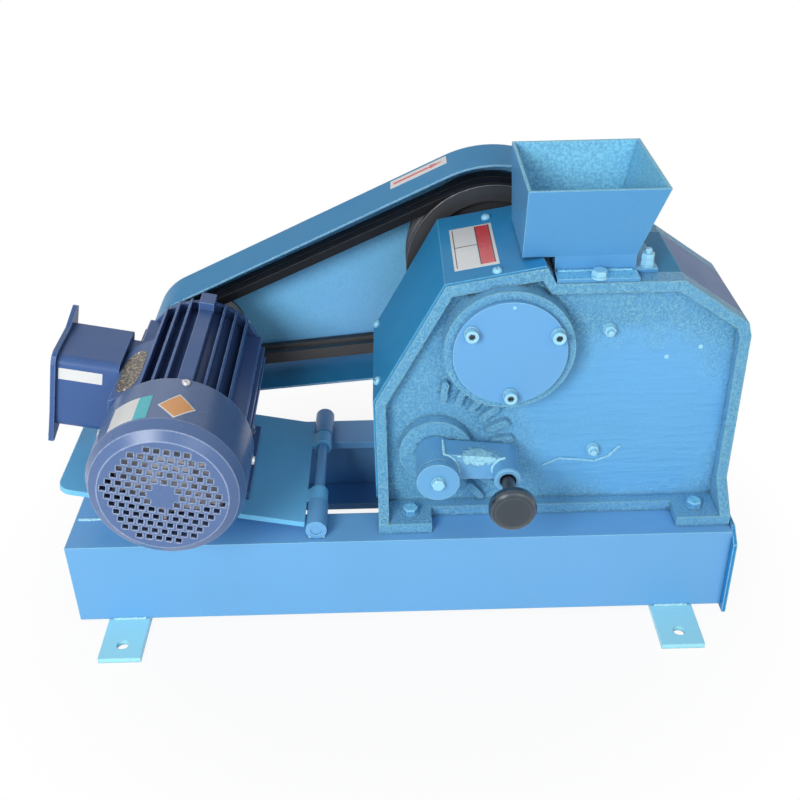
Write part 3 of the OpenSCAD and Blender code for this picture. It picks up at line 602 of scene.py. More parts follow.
@dataclass(frozen=True)
class WeldedEnamel(Enamel):
    """Enamel over a piece that carries one rough patch of weld metal."""

    weld_at: Triple = (0.0, 0.0, 0.0)
    weld_size: Triple = (0.01, 0.01, 0.01)
    weld_colour: Colour = (0.46, 0.86, 0.95, 1.0)
    weld_height: float = 6.0

    def patch(self, graph: Graph, place: Socket) -> Socket:
        """Builds the mask of the ragged weld patch.

        Args:
            graph: The material's graph.
            place: The Object coordinates.

        Returns:
            1 inside the patch and 0 outside it.
        """
        noise = {"Noise Scale": 190.0, "Ragged": 1.4}
        area = EFFECTS.area(graph, place, self.weld_at, self.weld_size, noise)
        return graph.remap(area, 1.45, 1.75, 1.0, 0.0)

    def ground(self, graph: Graph, place: Socket) -> Value:
        """Builds the paint's colour, pale over the weld's ripples.

        Args:
            graph: The material's graph.
            place: The Object coordinates.

        Returns:
            The colour.
        """
        ripple = graph.remap(graph.noise(place, 330.0, 3.0), 0.35, 0.65, 0.3, 1.0)
        share = graph.math("MULTIPLY", self.patch(graph, place), ripple)
        return graph.mix(share, self.colour, self.weld_colour)

    def skin(self, graph: Graph, place: Socket) -> tuple[Socket, Socket]:
        """Raises the skin in lumps over the weld.

        Args:
            graph: The material's graph.
            place: The Object coordinates.

        Returns:
            The height of the skin, and where it peaks.
        """
        height, peaks = super().skin(graph, place)
        lumps = graph.math("MULTIPLY", graph.noise(place, 260.0, 3.0), self.weld_height)
        return graph.math("MULTIPLY_ADD", self.patch(graph, place), lumps, height), peaks


@dataclass(frozen=True)
class TurnedMetal(Finish):
    """Bare metal off the lathe, ringed about a line along Y."""

    axis: Pair = (0.0, 0.0)
    pitch: float = 0.0011
    depth: float = 0.00006
    metallic: float = 1.0
    highlight_colour: Colour = (0.75, 0.76, 0.78, 1.0)
    edge: float = 0.5
    edge_radius: float = 0.001

    def shade(self, graph: Graph, place: Socket) -> bpy.types.Node:
        """Builds the metal's shader from its rings, a painted highlight along its edges, and
        stains.

        Args:
            graph: The material's graph.
            place: The Object coordinates.

        Returns:
            The shader's node.
        """
        shift = (-self.axis[0], 0.0, -self.axis[1])
        local = graph.add("ShaderNodeMapping", {"Vector": place, "Location": shift})
        inputs = {"Vector": local, "Pitch": self.pitch}
        rings = EFFECTS.place(graph, Effect.TURNED_RINGS, inputs).outputs
        inputs = {"Radius": self.edge_radius, "Vector": place}
        edge = EFFECTS.place(graph, Effect.SOFT_EDGE, inputs).outputs
        inputs = {"Color": self.colour, "Patch Scale": 30.0, "Spread": 0.5, "Fleck": 0.1}
        tone = EFFECTS.place(graph, Effect.PAINT_TONE, {"Vector": place, **inputs})
        # Painted highlight: the edges are mixed towards a paler colour.
        edge_highlight = graph.math("MULTIPLY", edge["Mask"], self.edge)
        inputs = {
            "Base Color": graph.mix(edge_highlight, tone, self.highlight_colour),
            "Metallic": self.metallic,
            "Roughness": graph.math("MULTIPLY_ADD", rings["Streak"], 0.25, self.roughness - 0.12),
        }
        return self.surface(graph, (self.depth, rings["Height"], edge["Normal"]), inputs)


@dataclass(frozen=True)
class Moulded(Finish):
    """Moulded plastic or rubber with a fine grain, a light bloom of dust, and a painted highlight
    along its edges.
    """

    grain: float = 900.0
    depth: float = 0.00005
    bloom: float = 0.1
    dust_and_highlight_colour: Colour = (0.3, 0.3, 0.3, 1.0)
    coat: float = 0.0
    edge_radius: float = 0.0008
    edge: float = 0.35

    def shade(self, graph: Graph, place: Socket) -> bpy.types.Node:
        """Builds the plastic's shader from its grain, its bloom of dust and its painted edge
        highlight.

        Args:
            graph: The material's graph.
            place: The Object coordinates.

        Returns:
            The shader's node.
        """
        inputs = {"Radius": self.edge_radius, "Vector": place}
        edge = EFFECTS.place(graph, Effect.SOFT_EDGE, inputs).outputs
        dust = EFFECTS.place(graph, Effect.SETTLED_DUST, {"Vector": place, "Amount": self.bloom})
        # The haze is settled dust together with a painted highlight along the edges.
        haze = graph.math("MAXIMUM", dust, graph.math("MULTIPLY", edge["Mask"], self.edge))
        inputs = {"Vector": place, "Color": self.colour, "Patch Scale": 24.0, "Spread": 0.2}
        tone = EFFECTS.place(graph, Effect.PAINT_TONE, inputs)
        smear = graph.noise(place, 40.0, 2.0)
        inputs = {
            "Base Color": graph.mix(haze, tone, self.dust_and_highlight_colour),
            "Roughness": graph.math("MULTIPLY_ADD", smear, 0.12, self.roughness - 0.06),
            "Coat Weight": self.coat,
            "Coat Roughness": 0.12,
        }
        grain = graph.noise(place, self.grain, 3.0, 0.6)
        return self.surface(graph, (self.depth, grain, edge["Normal"]), inputs)


@dataclass(frozen=True)
class WornJaw(Finish):
    """Bare cast steel that stone has polished and scratched along the teeth."""

    stain_colour: Colour = (0.12, 0.075, 0.05, 1.0)
    bright_colour: Colour = (0.42, 0.41, 0.40, 1.0)
    scratch_scale: Triple = (60.0, 60.0, 6.0)
    depth: float = 0.0003
    edge_radius: float = 0.002

    def shade(self, graph: Graph, place: Socket) -> bpy.types.Node:
        """Builds the shader: rust-brown hollows, bright scratches down the teeth.

        Args:
            graph: The material's graph.
            place: The Object coordinates.

        Returns:
            The shader's node.
        """
        inputs = {"Radius": self.edge_radius, "Vector": place}
        edge = EFFECTS.place(graph, Effect.SOFT_EDGE, inputs).outputs
        down = graph.add("ShaderNodeMapping", {"Vector": place, "Scale": self.scratch_scale})
        scratch = graph.remap(graph.noise(down, 6.0, 5.0, 0.7), 0.45, 0.75)
        stain = graph.remap(graph.noise(place, 30.0, 4.0), 0.35, 0.7)
        dull = graph.mix(stain, self.colour, self.stain_colour)
        bright = graph.math("MAXIMUM", scratch, edge["Mask"])
        inputs = {
            "Base Color": graph.mix(bright, dull, self.bright_colour),
            "Metallic": 0.85,
            "Roughness": graph.remap(bright, 0.0, 1.0, 0.65, 0.38),
        }
        grain = graph.noise(place, 260.0, 4.0, 0.7)
        return self.surface(graph, (self.depth, grain, edge["Normal"]), inputs)


@dataclass(frozen=True)
class PrintedFilm(Finish):
    """Blank printed film, slightly yellowed and scuffed."""

    fleck_colour: Colour = (0.6, 0.6, 0.58, 1.0)
    fleck: float = 0.1
    fleck_scale: float = 300.0
    depth: float = 0.00004
    coat: float = 0.2

    def shade(self, graph: Graph, place: Socket) -> bpy.types.Node:
        """Builds the film's shader from its colour and scuffs.

        Args:
            graph: The material's graph.
            place: The Object coordinates.

        Returns:
            The shader's node.
        """
        grain = graph.noise(place, self.fleck_scale, 3.0, 0.7)
        speck = graph.remap(grain, 0.5, 0.62, 0.0, self.fleck)
        inputs = {
            "Base Color": graph.mix(speck, self.colour, self.fleck_colour),
            "Roughness": graph.math("MULTIPLY_ADD", speck, 0.3, self.roughness),
            "Coat Weight": self.coat,
        }
        return self.surface(graph, (self.depth, graph.noise(place, 120.0, 2.0)), inputs)


# Pale cyan of the painted highlights on the blue enamels.
HIGHLIGHT_CYAN: Colour = (0.40, 0.82, 0.97, 1.0)
FRAME_BLUE = Enamel(
    "frame_blue_enamel", (0.160, 0.430, 0.760, 1.0), 0.32, edge=1.0, highlight_colour=HIGHLIGHT_CYAN
)
# The foot tabs carry the frame's blue; their paler blue is a painted sheen of light on their upward
# faces.
TAB_SHEEN_BLUE = Enamel("tab_blue_enamel", (0.40, 0.84, 0.97, 1.0), 0.32, edge=0.8, highlight_colour=HIGHLIGHT_CYAN)
SHEET_BLUE = Enamel(
    "sheet_blue_enamel", (0.030, 0.285, 0.590, 1.0), 0.34, depth=0.0001, edge=0.8,
    patch_scale=5.0, highlight_colour=HIGHLIGHT_CYAN, specular=0.08,
)
GUARD_BLUE = Enamel(
    "guard_blue_enamel", (0.028, 0.280, 0.590, 1.0), 0.34, depth=0.0001, edge=1.0,
    highlight_colour=(0.66, 0.95, 1.0, 1.0), edge_radius=0.0018, patch_scale=4.0, specular=0.06,
)
# The panel's wide soft tone patches paint a bright bloom of light on it.
PANEL_BLUE = Enamel(
    "panel_blue_enamel", (0.210, 0.570, 0.950, 1.0), 0.30, fine_scale=420.0, coarse_scale=360.0,
    depth=0.0011, fleck=0.15, bump_highlight_and_shade=0.12, spread=0.9, patch_scale=4.0,
)
PLATE_BLUE = Enamel(
    "plate_blue_enamel", (0.185, 0.610, 0.970, 1.0), 0.34, spread=0.3, highlight_colour=HIGHLIGHT_CYAN, edge=0.9
)
CAST_BLUE = CastEnamel(
    "casting_blue_enamel", (0.130, 0.420, 0.765, 1.0), 0.36, spread=0.25, fleck=0.1,
    fine_scale=1000.0, coarse_scale=440.0, coarse_share=1.0, depth=0.0045, edge_radius=0.0030,
    edge=1.0, highlight_colour=HIGHLIGHT_CYAN, bump_highlight_and_shade=0.6, specular=0.35,
    smooth_at=(0.245, -0.007, 0.212), smooth_size=(0.125, 0.30, 0.105), smooth_half=0.0575,
)
# The end wall's colour below the deck is a painted purple-grey sheen; top_colour is the deck's own
# paint.
WALL_SHEEN_BLUE = SheenedWallEnamel(
    "end_wall_blue_enamel", (0.085, 0.190, 0.430, 1.0), 0.33, spread=0.5, fleck=0.2,
    depth=0.0009, smooth_at=(0.30, -0.007, 0.25), smooth_size=(0.10, 0.2, 0.10), specular=0.08,
    top_colour=(0.022, 0.260, 0.480, 1.0),
)
COVER_BLUE = Enamel(
    "bearing_cover_enamel", (0.150, 0.405, 0.735, 1.0), 0.33, spread=0.06, depth=0.00015,
    edge=0.9, highlight_colour=HIGHLIGHT_CYAN,
)
# The screws and studs carry the machine's blue paint; their paler blue is a painted highlight.
SCREW_HIGHLIGHT_BLUE = Enamel(
    "screw_blue_enamel", (0.300, 0.680, 0.900, 1.0), 0.28, spread=0.3, edge=0.9,
    edge_radius=0.0008, highlight_colour=(0.70, 0.95, 1.0, 1.0), specular=0.5,
)
# The hopper's faces that lean upwards get painted light.
HOPPER_BLUE = UpLitEnamel(
    "hopper_blue_enamel", (0.105, 0.345, 0.650, 1.0), 0.32, spread=0.12, depth=0.0005,
    edge=0.9, highlight_colour=HIGHLIGHT_CYAN, specular=0.12, fine_scale=500.0,
)
ARM_BLUE = WeldedEnamel(
    "adjuster_blue_enamel", (0.140, 0.400, 0.700, 1.0), 0.30, spread=0.2, depth=0.0003, edge=1.0,
    highlight_colour=HIGHLIGHT_CYAN, specular=0.35, weld_at=(0.083, -0.1065, 0.202),
    weld_size=(0.021, 0.016, 0.0095),
)
MOTOR_BLUE = Enamel(
    "motor_blue_enamel", (0.066, 0.135, 0.330, 1.0), 0.34, spread=0.12, depth=0.0002,
    highlight_colour=(0.36, 0.52, 0.88, 1.0), edge=0.9, dust=0.02, specular=0.15,
)
COWL_BLUE = Enamel(
    "cowl_blue_enamel", (0.092, 0.160, 0.335, 1.0), 0.26, spread=0.1, depth=0.00012,
    highlight_colour=(0.70, 0.80, 1.0, 1.0), edge=1.0, edge_radius=0.0020, dust=0.02, specular=0.35,
)
WELD_BLUE = Enamel(
    "weld_blue_enamel", (0.440, 0.840, 0.950, 1.0), 0.26, fine_scale=900.0, depth=0.0006,
    edge=0.2, bump_highlight_and_shade=0.5, specular=0.5,
)
JAW_METAL = WornJaw("jaw_cast_steel", (0.17, 0.16, 0.15, 1.0), 0.5)
BELT_RUBBER = Moulded(
    "belt_cloth", (0.010, 0.010, 0.012, 1.0), 0.55, grain=500.0, depth=0.0001, bloom=0.05
)
KNOB_PLASTIC = Moulded(
    "moulded_knob", (0.012, 0.026, 0.042, 1.0), 0.22, bloom=0.05, coat=0.5, edge_radius=0.004,
    dust_and_highlight_colour=(0.26, 0.32, 0.38, 1.0),
)
FAN_PLASTIC = Moulded(
    "moulded_fan", (0.95, 0.96, 0.98, 1.0), 0.35, bloom=0.1, dust_and_highlight_colour=(0.8, 0.8, 0.8, 1.0)
)
WHITE_FILM = PrintedFilm("white_film", (0.80, 0.81, 0.80, 1.0), 0.35)
RED_FILM = PrintedFilm("red_film", (0.68, 0.035, 0.045, 1.0), 0.35)
CYAN_FILM = PrintedFilm("cyan_film", (0.03, 0.50, 0.58, 1.0), 0.35)
AMBER_FILM = PrintedFilm("amber_film", (0.75, 0.30, 0.06, 1.0), 0.35)
BLACK_FILM = PrintedFilm("black_film", (0.02, 0.02, 0.02, 1.0), 0.4)
PLATE_FILM = PrintedFilm(
    "etched_plate_film", (0.035, 0.032, 0.03, 1.0), 0.35, fleck_colour=(0.62, 0.50, 0.32, 1.0),
    fleck=0.9, fleck_scale=380.0,
)
ZINC = TurnedMetal("zinc_plated_steel", (0.55, 0.56, 0.58, 1.0), 0.34, pitch=0.0006)


# ---------------------------------------------------------------------- places


@dataclass(frozen=True)
class Layout:
    """Places that several sub-assemblies share, read from the CAD nodes' boxes."""

    shaft: Vector
    motor: Vector
    adjuster: Vector
    plunger: Vector
    rim_y: float
    rear_rim_y: float
    wall_y: float
    deck_z: float
    tilt: float = math.radians(11.8)

    @classmethod
    def read(cls, sheet_past_rim: float = 1 * MM, wall: float = 6 * MM) -> "Layout":
        """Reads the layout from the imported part.

        Args:
            sheet_past_rim: How far the cover sheet stands past the casting's rim.
            wall: How far the casting's front wall stands before the frame's inner face.

        Returns:
            The layout.
        """
        frame_low, frame_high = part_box("front_side_frame")
        rim_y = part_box("cover_sheet")[0].y - sheet_past_rim
        foot_reach = rim_y - frame_low.y
        return cls(
            shaft=cls.centre("front_bearing_cover"),
            motor=cls.centre("motor_shaft"),
            adjuster=cls.centre("adjuster_shaft"),
            plunger=cls.centre("plunger"),
            rim_y=rim_y,
            rear_rim_y=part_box("rear_side_frame")[1].y - foot_reach,
            wall_y=frame_high.y - wall,
            deck_z=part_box("hopper")[0].z,
        )

    @staticmethod
    def centre(node: str) -> Vector:
        """Returns the middle of a CAD node's box."""
        low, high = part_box(node)
        return (low + high) / 2

    def motor_frame(self) -> Matrix:
        """Returns the motor's own frame: X down the sloping plate, Z square to it."""
        at = Vector((self.motor.x, 0.0, self.motor.z))
        return Matrix.Translation(at) @ Matrix.Rotation(self.tilt, 4, "Y")

    def mirrored(self, point: Vector) -> Vector:
        """Returns the point on the other side of the casting's middle plane."""
        return Vector((point.x, self.rim_y + self.rear_rim_y - point.y, point.z))


LAYOUT = Layout.read()
FRONT, REAR, UP = Vector((0, -1, 0)), Vector((0, 1, 0)), Vector((0, 0, 1))


def unit(angle: float) -> Vector:
    """Returns the direction at an angle in the XZ plane."""
    return Vector((math.cos(angle), 0.0, math.sin(angle)))


def around(centre: Vector, radius: float, angle: float, y: float) -> Vector:
    """Returns the point at a radius in mm and an angle in degrees round an axis along Y."""
    x, z = radius * MM * math.cos(math.radians(angle)), radius * MM * math.sin(math.radians(angle))
    return Vector((centre.x + x, y, centre.z + z))


# ---------------------------------------------------------------------- meshes


@dataclass(frozen=True)
class Ring:
    """One level of a turned solid in mm: a circle, or a hexagon of that half width."""

    radius: float
    height: float
    hexagon: bool = False

    def points(self, sides: int) -> list[Vector]:
        """Places the level's points.

        Args:
            sides: How many points a circle has.

        Returns:
            The points, or one point where the radius is nothing.
        """
        if self.radius == 0:
            return [Vector((0, 0, self.height * MM))]
        found = []
        for number in range(sides):
            angle = math.tau * number / sides
            reach = self.radius * MM
            if self.hexagon:
                reach /= math.cos((angle + math.pi / 6) % (math.pi / 3) - math.pi / 6)
            x, y = reach * math.cos(angle), reach * math.sin(angle)
            found.append(Vector((x, y, self.height * MM)))
        return found


SMOOTH_ANGLE = math.radians(35.0)


def stacked(name: str, levels: Sequence[Sequence[Vector]]) -> bpy.types.Mesh:
    """Joins levels of points into a closed mesh.

    Args:
        name: The mesh's name.
        levels: Closed outlines with the same number of points, or single points at the ends.

    Returns:
        The mesh, smooth over its flatter edges.
    """
    shape = bmesh.new()
    rows = [[shape.verts.new(point) for point in level] for level in levels]
    for low, high in zip(rows, rows[1:]):
        count = max(len(low), len(high))
        for number in range(count):
            after = (number + 1) % count
            corners = [low[number % len(low)], low[after % len(low)]]
            corners += [high[after % len(high)], high[number % len(high)]]
            shape.faces.new(list(dict.fromkeys(corners)))
    for row in (rows[0], rows[-1]):
        if len(row) > 2:
            shape.faces.new(row)
    bmesh.ops.recalc_face_normals(shape, faces=shape.faces)
    for edge in shape.edges:
        edge.smooth = edge.calc_face_angle(0.0) < SMOOTH_ANGLE
    for face in shape.faces:
        face.smooth = True
    made = bpy.data.meshes.new(name)
    shape.to_mesh(made)
    shape.free()
    return made


def evaluated(host: bpy.types.Object, *helpers: bpy.types.Object) -> bpy.types.Mesh:
    """Turns an object with its modifiers into a plain mesh, and removes the object.

    Args:
        host: The object, new and in no collection.
        helpers: Objects its modifiers need, removed with it.

    Returns:
        The mesh.
    """
    for part in (host, *helpers):
        bpy.context.scene.collection.objects.link(part)
    graph = bpy.context.evaluated_depsgraph_get()
    made = bpy.data.meshes.new_from_object(host.evaluated_get(graph), depsgraph=graph)
    host.modifiers.clear()
    for part in (host, *helpers):
        bpy.data.objects.remove(part)
    return made


def placed(name: str, mesh: bpy.types.Mesh, finish: Finish, body: Body) -> None:
    """Makes a mesh a finished piece that rides on a body.

    Args:
        name: The piece's name.
        mesh: Its mesh, in place.
        finish: Its finish.
        body: The CAD body it moves with.
    """
    mesh.name = name
    mesh.materials.clear()
    mesh.materials.append(finish.material())
    piece = bpy.data.objects.new(name, mesh)
    bpy.context.scene.collection.objects.link(piece)
    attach(piece, body.value)
    LOG.info("%s: %d faces on %s", name, len(mesh.polygons), body.value)


def dress(finish: Finish, *nodes: str) -> None:
    """Gives CAD nodes a finish."""
    for node in nodes:
        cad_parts[node].data.materials[0] = finish.material()


# ------------------------------------------------------------- repeated details


@dataclass
class TreeKit:
    """Grows many like details on the points or lines of a mesh with a Geometry Nodes tree."""

    title: str
    inputs: tuple[Port, ...]
    smooth: bool = False
    tree: bpy.types.NodeTree | None = None

    def instances(self, graph: Graph, given: bpy.types.NodeOutputs) -> bpy.types.Node:
        """Builds what the tree instances, and returns the node that puts it out."""
        raise NotImplementedError

    def _build(self) -> None:
        """Builds the tree: instances become real faces with their material."""
        self.tree = bpy.data.node_groups.new(self.title, "GeometryNodeTree")
        for port in (GEOMETRY, *self.inputs, FINISH, SEED):
            port.open(self.tree, "INPUT")
        GEOMETRY.open(self.tree, "OUTPUT")
        graph = Graph(self.tree)
        given = graph.add("NodeGroupInput").outputs
        real = graph.add("GeometryNodeRealizeInstances", {0: self.instances(graph, given)})
        if self.smooth:
            real = graph.add("GeometryNodeSetShadeSmooth", {0: real})
        inputs = {"Geometry": real, "Material": given["Finish"]}
        graph.add("NodeGroupOutput", {0: graph.add("GeometryNodeSetMaterial", inputs)})

    def grow(
        self, name: str, start: bpy.types.Mesh, finish: Finish, inputs: dict[str, object]
    ) -> bpy.types.Mesh:
        """Runs the tree on a mesh.

        Args:
            name: The piece's name, whose length seeds the random draws.
            start: The points or lines that the tree starts from.
            finish: The details' finish.
            inputs: Values for the tree's own inputs.

        Returns:
            The result as a plain mesh.
        """
        if self.tree is None:
            self._build()
        inputs = {**inputs, FINISH.name: finish.material(), SEED.name: len(name)}
        host = bpy.data.objects.new(name + "_host", start)
        modifier = host.modifiers.new("tree", "NODES")
        modifier.node_group = self.tree
        for item in self.tree.interface.items_tree:
            if item.in_out == "INPUT" and item.name in inputs:
                modifier[item.identifier] = inputs[item.name]
        return evaluated(host)


class Fastener(Enum):
    """The screws, bolts and nuts of the machine."""

    HEX_BOLT = "hex_bolt"
    CAP_SCREW = "cap_screw"
    ROUND_SCREW = "round_screw"
    STUD_NUT = "stud_nut"
    LOCKED_STUD = "locked_stud"
    PAN_SCREW = "pan_screw"
    RIVET = "rivet"
    NUB = "nub"
    SOCKET = "socket"


WASHER = ((0, -0.5), (8, -0.5), (8, 1.5))
NUT = ((6.5, 1.5, True), (6.5, 7.2, True), (6.1, 8.0))
SECOND_NUT = ((6.5, 8.0, True), (6.5, 13.7, True), (6.1, 14.5))
HEAD = ((6.5, 1.5, True), (6.5, 6.0, True), (6.0, 6.8), (0, 6.8))
DOME = tuple((4.9 * math.cos(a), 1.2 + 3.4 * math.sin(a)) for a in (0, 0.4, 0.8, 1.15))
CAP = ((7.3, -0.5), (7.3, 1.7), (6.4, 1.7), (6.5, 2.0), (6.5, 9.3), (6.0, 9.8))
CAP_WELL = ((4.3, 9.8), (3.9, 9.5), (3.0, 9.3, True), (3.0, 5.4, True), (0, 5.0))
PAN = ((4.6, -0.5), (4.6, 0.9), (4.2, 2.2), (3.0, 3.0), (0, 3.3))
PROFILES = {
    Fastener.HEX_BOLT: WASHER + HEAD,
    Fastener.CAP_SCREW: ((0, -0.5), *CAP, *CAP_WELL),
    Fastener.ROUND_SCREW: ((0, -0.5), (4.9, -0.5), *DOME, (0, 4.6)),
    Fastener.STUD_NUT: (*WASHER, *NUT, (3.7, 8.0), (3.7, 12.6), (3.1, 13.2), (0, 13.2)),
    Fastener.LOCKED_STUD: (
        *WASHER, *NUT, *SECOND_NUT, (3.7, 14.5), (3.7, 19.0), (3.1, 19.6), (0, 19.6),
    ),
    Fastener.PAN_SCREW: ((0, -0.5), *PAN),
    Fastener.RIVET: ((0, -0.4), (1.6, -0.4), (1.5, 0.5), (0.9, 1.0), (0, 1.1)),
    Fastener.NUB: ((0, -0.6), (2.2, -0.6), (1.7, 0.5), (0.8, 1.0), (0, 1.1)),
    Fastener.SOCKET: ((0, 4.8), (2.9, 4.8, True), (2.9, 6.6, True), (0, 6.6)),
}


@dataclass(frozen=True)
class Place:
    """Where a fastener stands and which way its head faces."""

    at: Vector
    facing: Vector


@dataclass
class FastenerKit(TreeKit):
    """Makes each kind of fastener once, and sets copies of it in place."""

    title: str = "Fastener Set"
    inputs: tuple[Port, ...] = (Port("Fastener", "NodeSocketObject"), scalar("Size", 1.0))
    attribute: str = "facing"
    sides: int = 24
    slotted: tuple[Fastener, ...] = (Fastener.ROUND_SCREW, Fastener.PAN_SCREW)
    slot_depth: float = 1.6 * MM
    slot_half: Pair = (8 * MM, 0.6 * MM)
    slot_past: float = 1 * MM
    masters: dict[Fastener, bpy.types.Object] = field(default_factory=dict)

    def _slot(self, mesh: bpy.types.Mesh, top: float) -> bpy.types.Mesh:
        """Cuts a driver's slot across a screw head.

        Args:
            mesh: The head.
            top: The height of the head.

        Returns:
            The slotted head.
        """
        length, width = self.slot_half
        outline = [(-length, -width), (length, -width), (length, width), (-length, width)]
        heights = (top - self.slot_depth, top + self.slot_past)
        levels = [[Vector((x, y, z)) for x, y in outline] for z in heights]
        cutter = bpy.data.objects.new("slot_cutter", stacked("slot_cutter", levels))
        head = bpy.data.objects.new("head", mesh)
        cut = head.modifiers.new("slot", "BOOLEAN")
        cut.object, cut.operation, cut.solver = cutter, "DIFFERENCE", "EXACT"
        return evaluated(head, cutter)

    def master(self, kind: Fastener) -> bpy.types.Object:
        """Gives the one object that all copies of a kind are made from.

        Args:
            kind: The kind of fastener.

        Returns:
            Its object, built at its first use.
        """
        if kind not in self.masters:
            rings = [Ring(*level) for level in PROFILES[kind]]
            mesh = stacked(kind.value, [ring.points(self.sides) for ring in rings])
            if kind in self.slotted:
                mesh = self._slot(mesh, rings[-1].height * MM)
            made = bpy.data.objects.new(kind.value + "_master", mesh)
            bpy.context.scene.collection.objects.link(made)
            self.masters[kind] = made
        return self.masters[kind]

    def instances(self, graph: Graph, given: bpy.types.NodeOutputs) -> bpy.types.Node:
        """Sets a fastener on each point, turned at random about its axis.

        Args:
            graph: The tree's graph.
            given: The tree's inputs.

        Returns:
            The node that puts the instances out.
        """
        facing = graph.add(
            "GeometryNodeInputNamedAttribute", {"Name": self.attribute}, data_type="FLOAT_VECTOR"
        )
        aligned = graph.add("FunctionNodeAlignRotationToVector", {"Vector": facing}, axis="Z")
        limits = {2: 0.0, 3: math.tau, "Seed": given["Seed"]}
        spin = graph.add("FunctionNodeRandomValue", limits, data_type="FLOAT").outputs[1]
        about = graph.add("FunctionNodeAxisAngleToRotation", {"Axis": tuple(UP), "Angle": spin})
        turn = graph.add(
            "FunctionNodeRotateRotation", {0: aligned, 1: about}, rotation_space="LOCAL"
        )
        master = graph.add("GeometryNodeObjectInfo", {"Object": given["Fastener"]})
        inputs = {
            "Points": given["Geometry"],
            "Instance": master.outputs["Geometry"],
            "Rotation": turn,
            "Scale": given["Size"],
        }
        return graph.add("GeometryNodeInstanceOnPoints", inputs)

    def set(
        self,
        name: str,
        kind: Fastener,
        places: Sequence[Place],
        finish: Finish,
        body: Body = Body.BASE,
        slot: Slot = Slot.STEEL,
        size: float = 1.0,
    ) -> None:
        """Sets one kind of fastener at several places, as one piece.

        Args:
            name: The piece's name.
            kind: The kind of fastener.
            places: Where each stands.
            finish: Their finish.
            body: The body they ride on.
            slot: Not used.
            size: Their size, where 1 is M8, or M5 for the small screws.
        """
        points = bpy.data.meshes.new(name + "_points")
        points.from_pydata([place.at for place in places], [], [])
        facing = points.attributes.new(self.attribute, "FLOAT_VECTOR", "POINT")
        for number, place in enumerate(places):
            facing.data[number].vector = place.facing.normalized()
        inputs = {"Fastener": self.master(kind), "Size": size}
        placed(name, self.grow(name, points, finish, inputs), finish, body)

    def clear(self) -> None:
        """Removes the masters, which aren't part of the machine."""
        for master in self.masters.values():
            bpy.data.objects.remove(master)
        self.masters.clear()


@dataclass
class WeldKit(TreeKit):
    """Lays weld beads, rows of overlapping drops, along paths."""

    title: str = "Weld Bead"
    inputs: tuple[Port, ...] = (scalar("Pitch"), scalar("Radius"))
    smooth: bool = True
    pitch: float = 2.2 * MM
    radius: float = 2.4 * MM
    least: Triple = (0.75, 0.75, 0.65)
    most: Triple = (1.15, 1.15, 0.95)

    def instances(self, graph: Graph, given: bpy.types.NodeOutputs) -> bpy.types.Node:
        """Sets a drop of random shape at each step along the lines.

        Args:
            graph: The tree's graph.
            given: The tree's inputs.

        Returns:
            The node that puts the instances out.
        """
        line = graph.add("GeometryNodeMeshToCurve", {0: given["Geometry"]})
        steps = {"Curve": line, "Length": given["Pitch"]}
        spaced = graph.add("GeometryNodeResampleCurve", steps, mode="LENGTH")
        ball = {"Radius": given["Radius"], "Subdivisions": 2}
        drop = graph.add("GeometryNodeMeshIcoSphere", ball).outputs["Mesh"]
        limits = {0: self.least, 1: self.most, "Seed": given["Seed"]}
        shape = graph.add("FunctionNodeRandomValue", limits, data_type="FLOAT_VECTOR")
        inputs = {"Points": spaced, "Instance": drop, "Scale": shape}
        return graph.add("GeometryNodeInstanceOnPoints", inputs)

    def lay(
        self,
        name: str,
        paths: Sequence[Sequence[Vector]],
        finish: Finish,
        body: Body = Body.BASE,
        slot: Slot = Slot.FRAME,
        radius: float | None = None,
    ) -> None:
        """Lays beads along open paths, as one piece.

        Args:
            name: The piece's name.
            paths: The lines that the beads follow.
            finish: Their finish.
            body: The body they ride on.
            slot: Not used.
            radius: The size of a drop, if it isn't the usual one.
        """
        points, edges = [], []
        for path in paths:
            edges += [(len(points) + n, len(points) + n + 1) for n in range(len(path) - 1)]
            points += path
        lines = bpy.data.meshes.new(name + "_lines")
        lines.from_pydata(points, edges, [])
        inputs = {"Pitch": self.pitch, "Radius": radius or self.radius}
        placed(name, self.grow(name, lines, finish, inputs), finish, body)


FASTENERS = FastenerKit()
WELDS = WeldKit()


# ----------------------------------------------------------------------- films

Surface = Callable[[float, float], tuple[Vector, Vector]]

# All three in mm, out from the surface that a film lies on.
FILM_THICKNESS = 0.3
FILM_SUNK = 0.1
PRINT_LIFT = 0.25


def film(
    name: str,
    surface: Surface,
    stations: Sequence[Triple],
    finish: Finish,
    lift: float = 0.0,
) -> None:
    """Lays a thin film on a surface.

    Args:
        name: The piece's name.
        surface: Gives the point and the outward normal at u and v, in mm along it.
        stations: Each u with the lowest and highest v there, in order.
        finish: The film's finish.
        lift: How far its underside is off the surface, in mm.
    """
    under, over = lift - FILM_SUNK, lift + FILM_THICKNESS
    levels = []
    for along, low, high in stations:
        level = []
        for across, out in ((low, under), (low, over), (high, over), (high, under)):
            point, normal = surface(along, across)
            level.append(point + normal * out * MM)
        levels.append(level)
    placed(name, stacked(name, levels), finish, Body.BASE)


def flat(origin: Vector, along: Vector, across: Vector) -> Surface:
    """Describes a flat surface.

    Args:
        origin: A point on it.
        along: The direction of u.
        across: The direction of v.

    Returns:
        The surface.
    """
    run, side = along.normalized(), across.normalized()

    def at(u: float, v: float) -> tuple[Vector, Vector]:
        """Returns the point and the normal at u and v."""
        return origin + (run * u + side * v) * MM, run.cross(side)

    return at


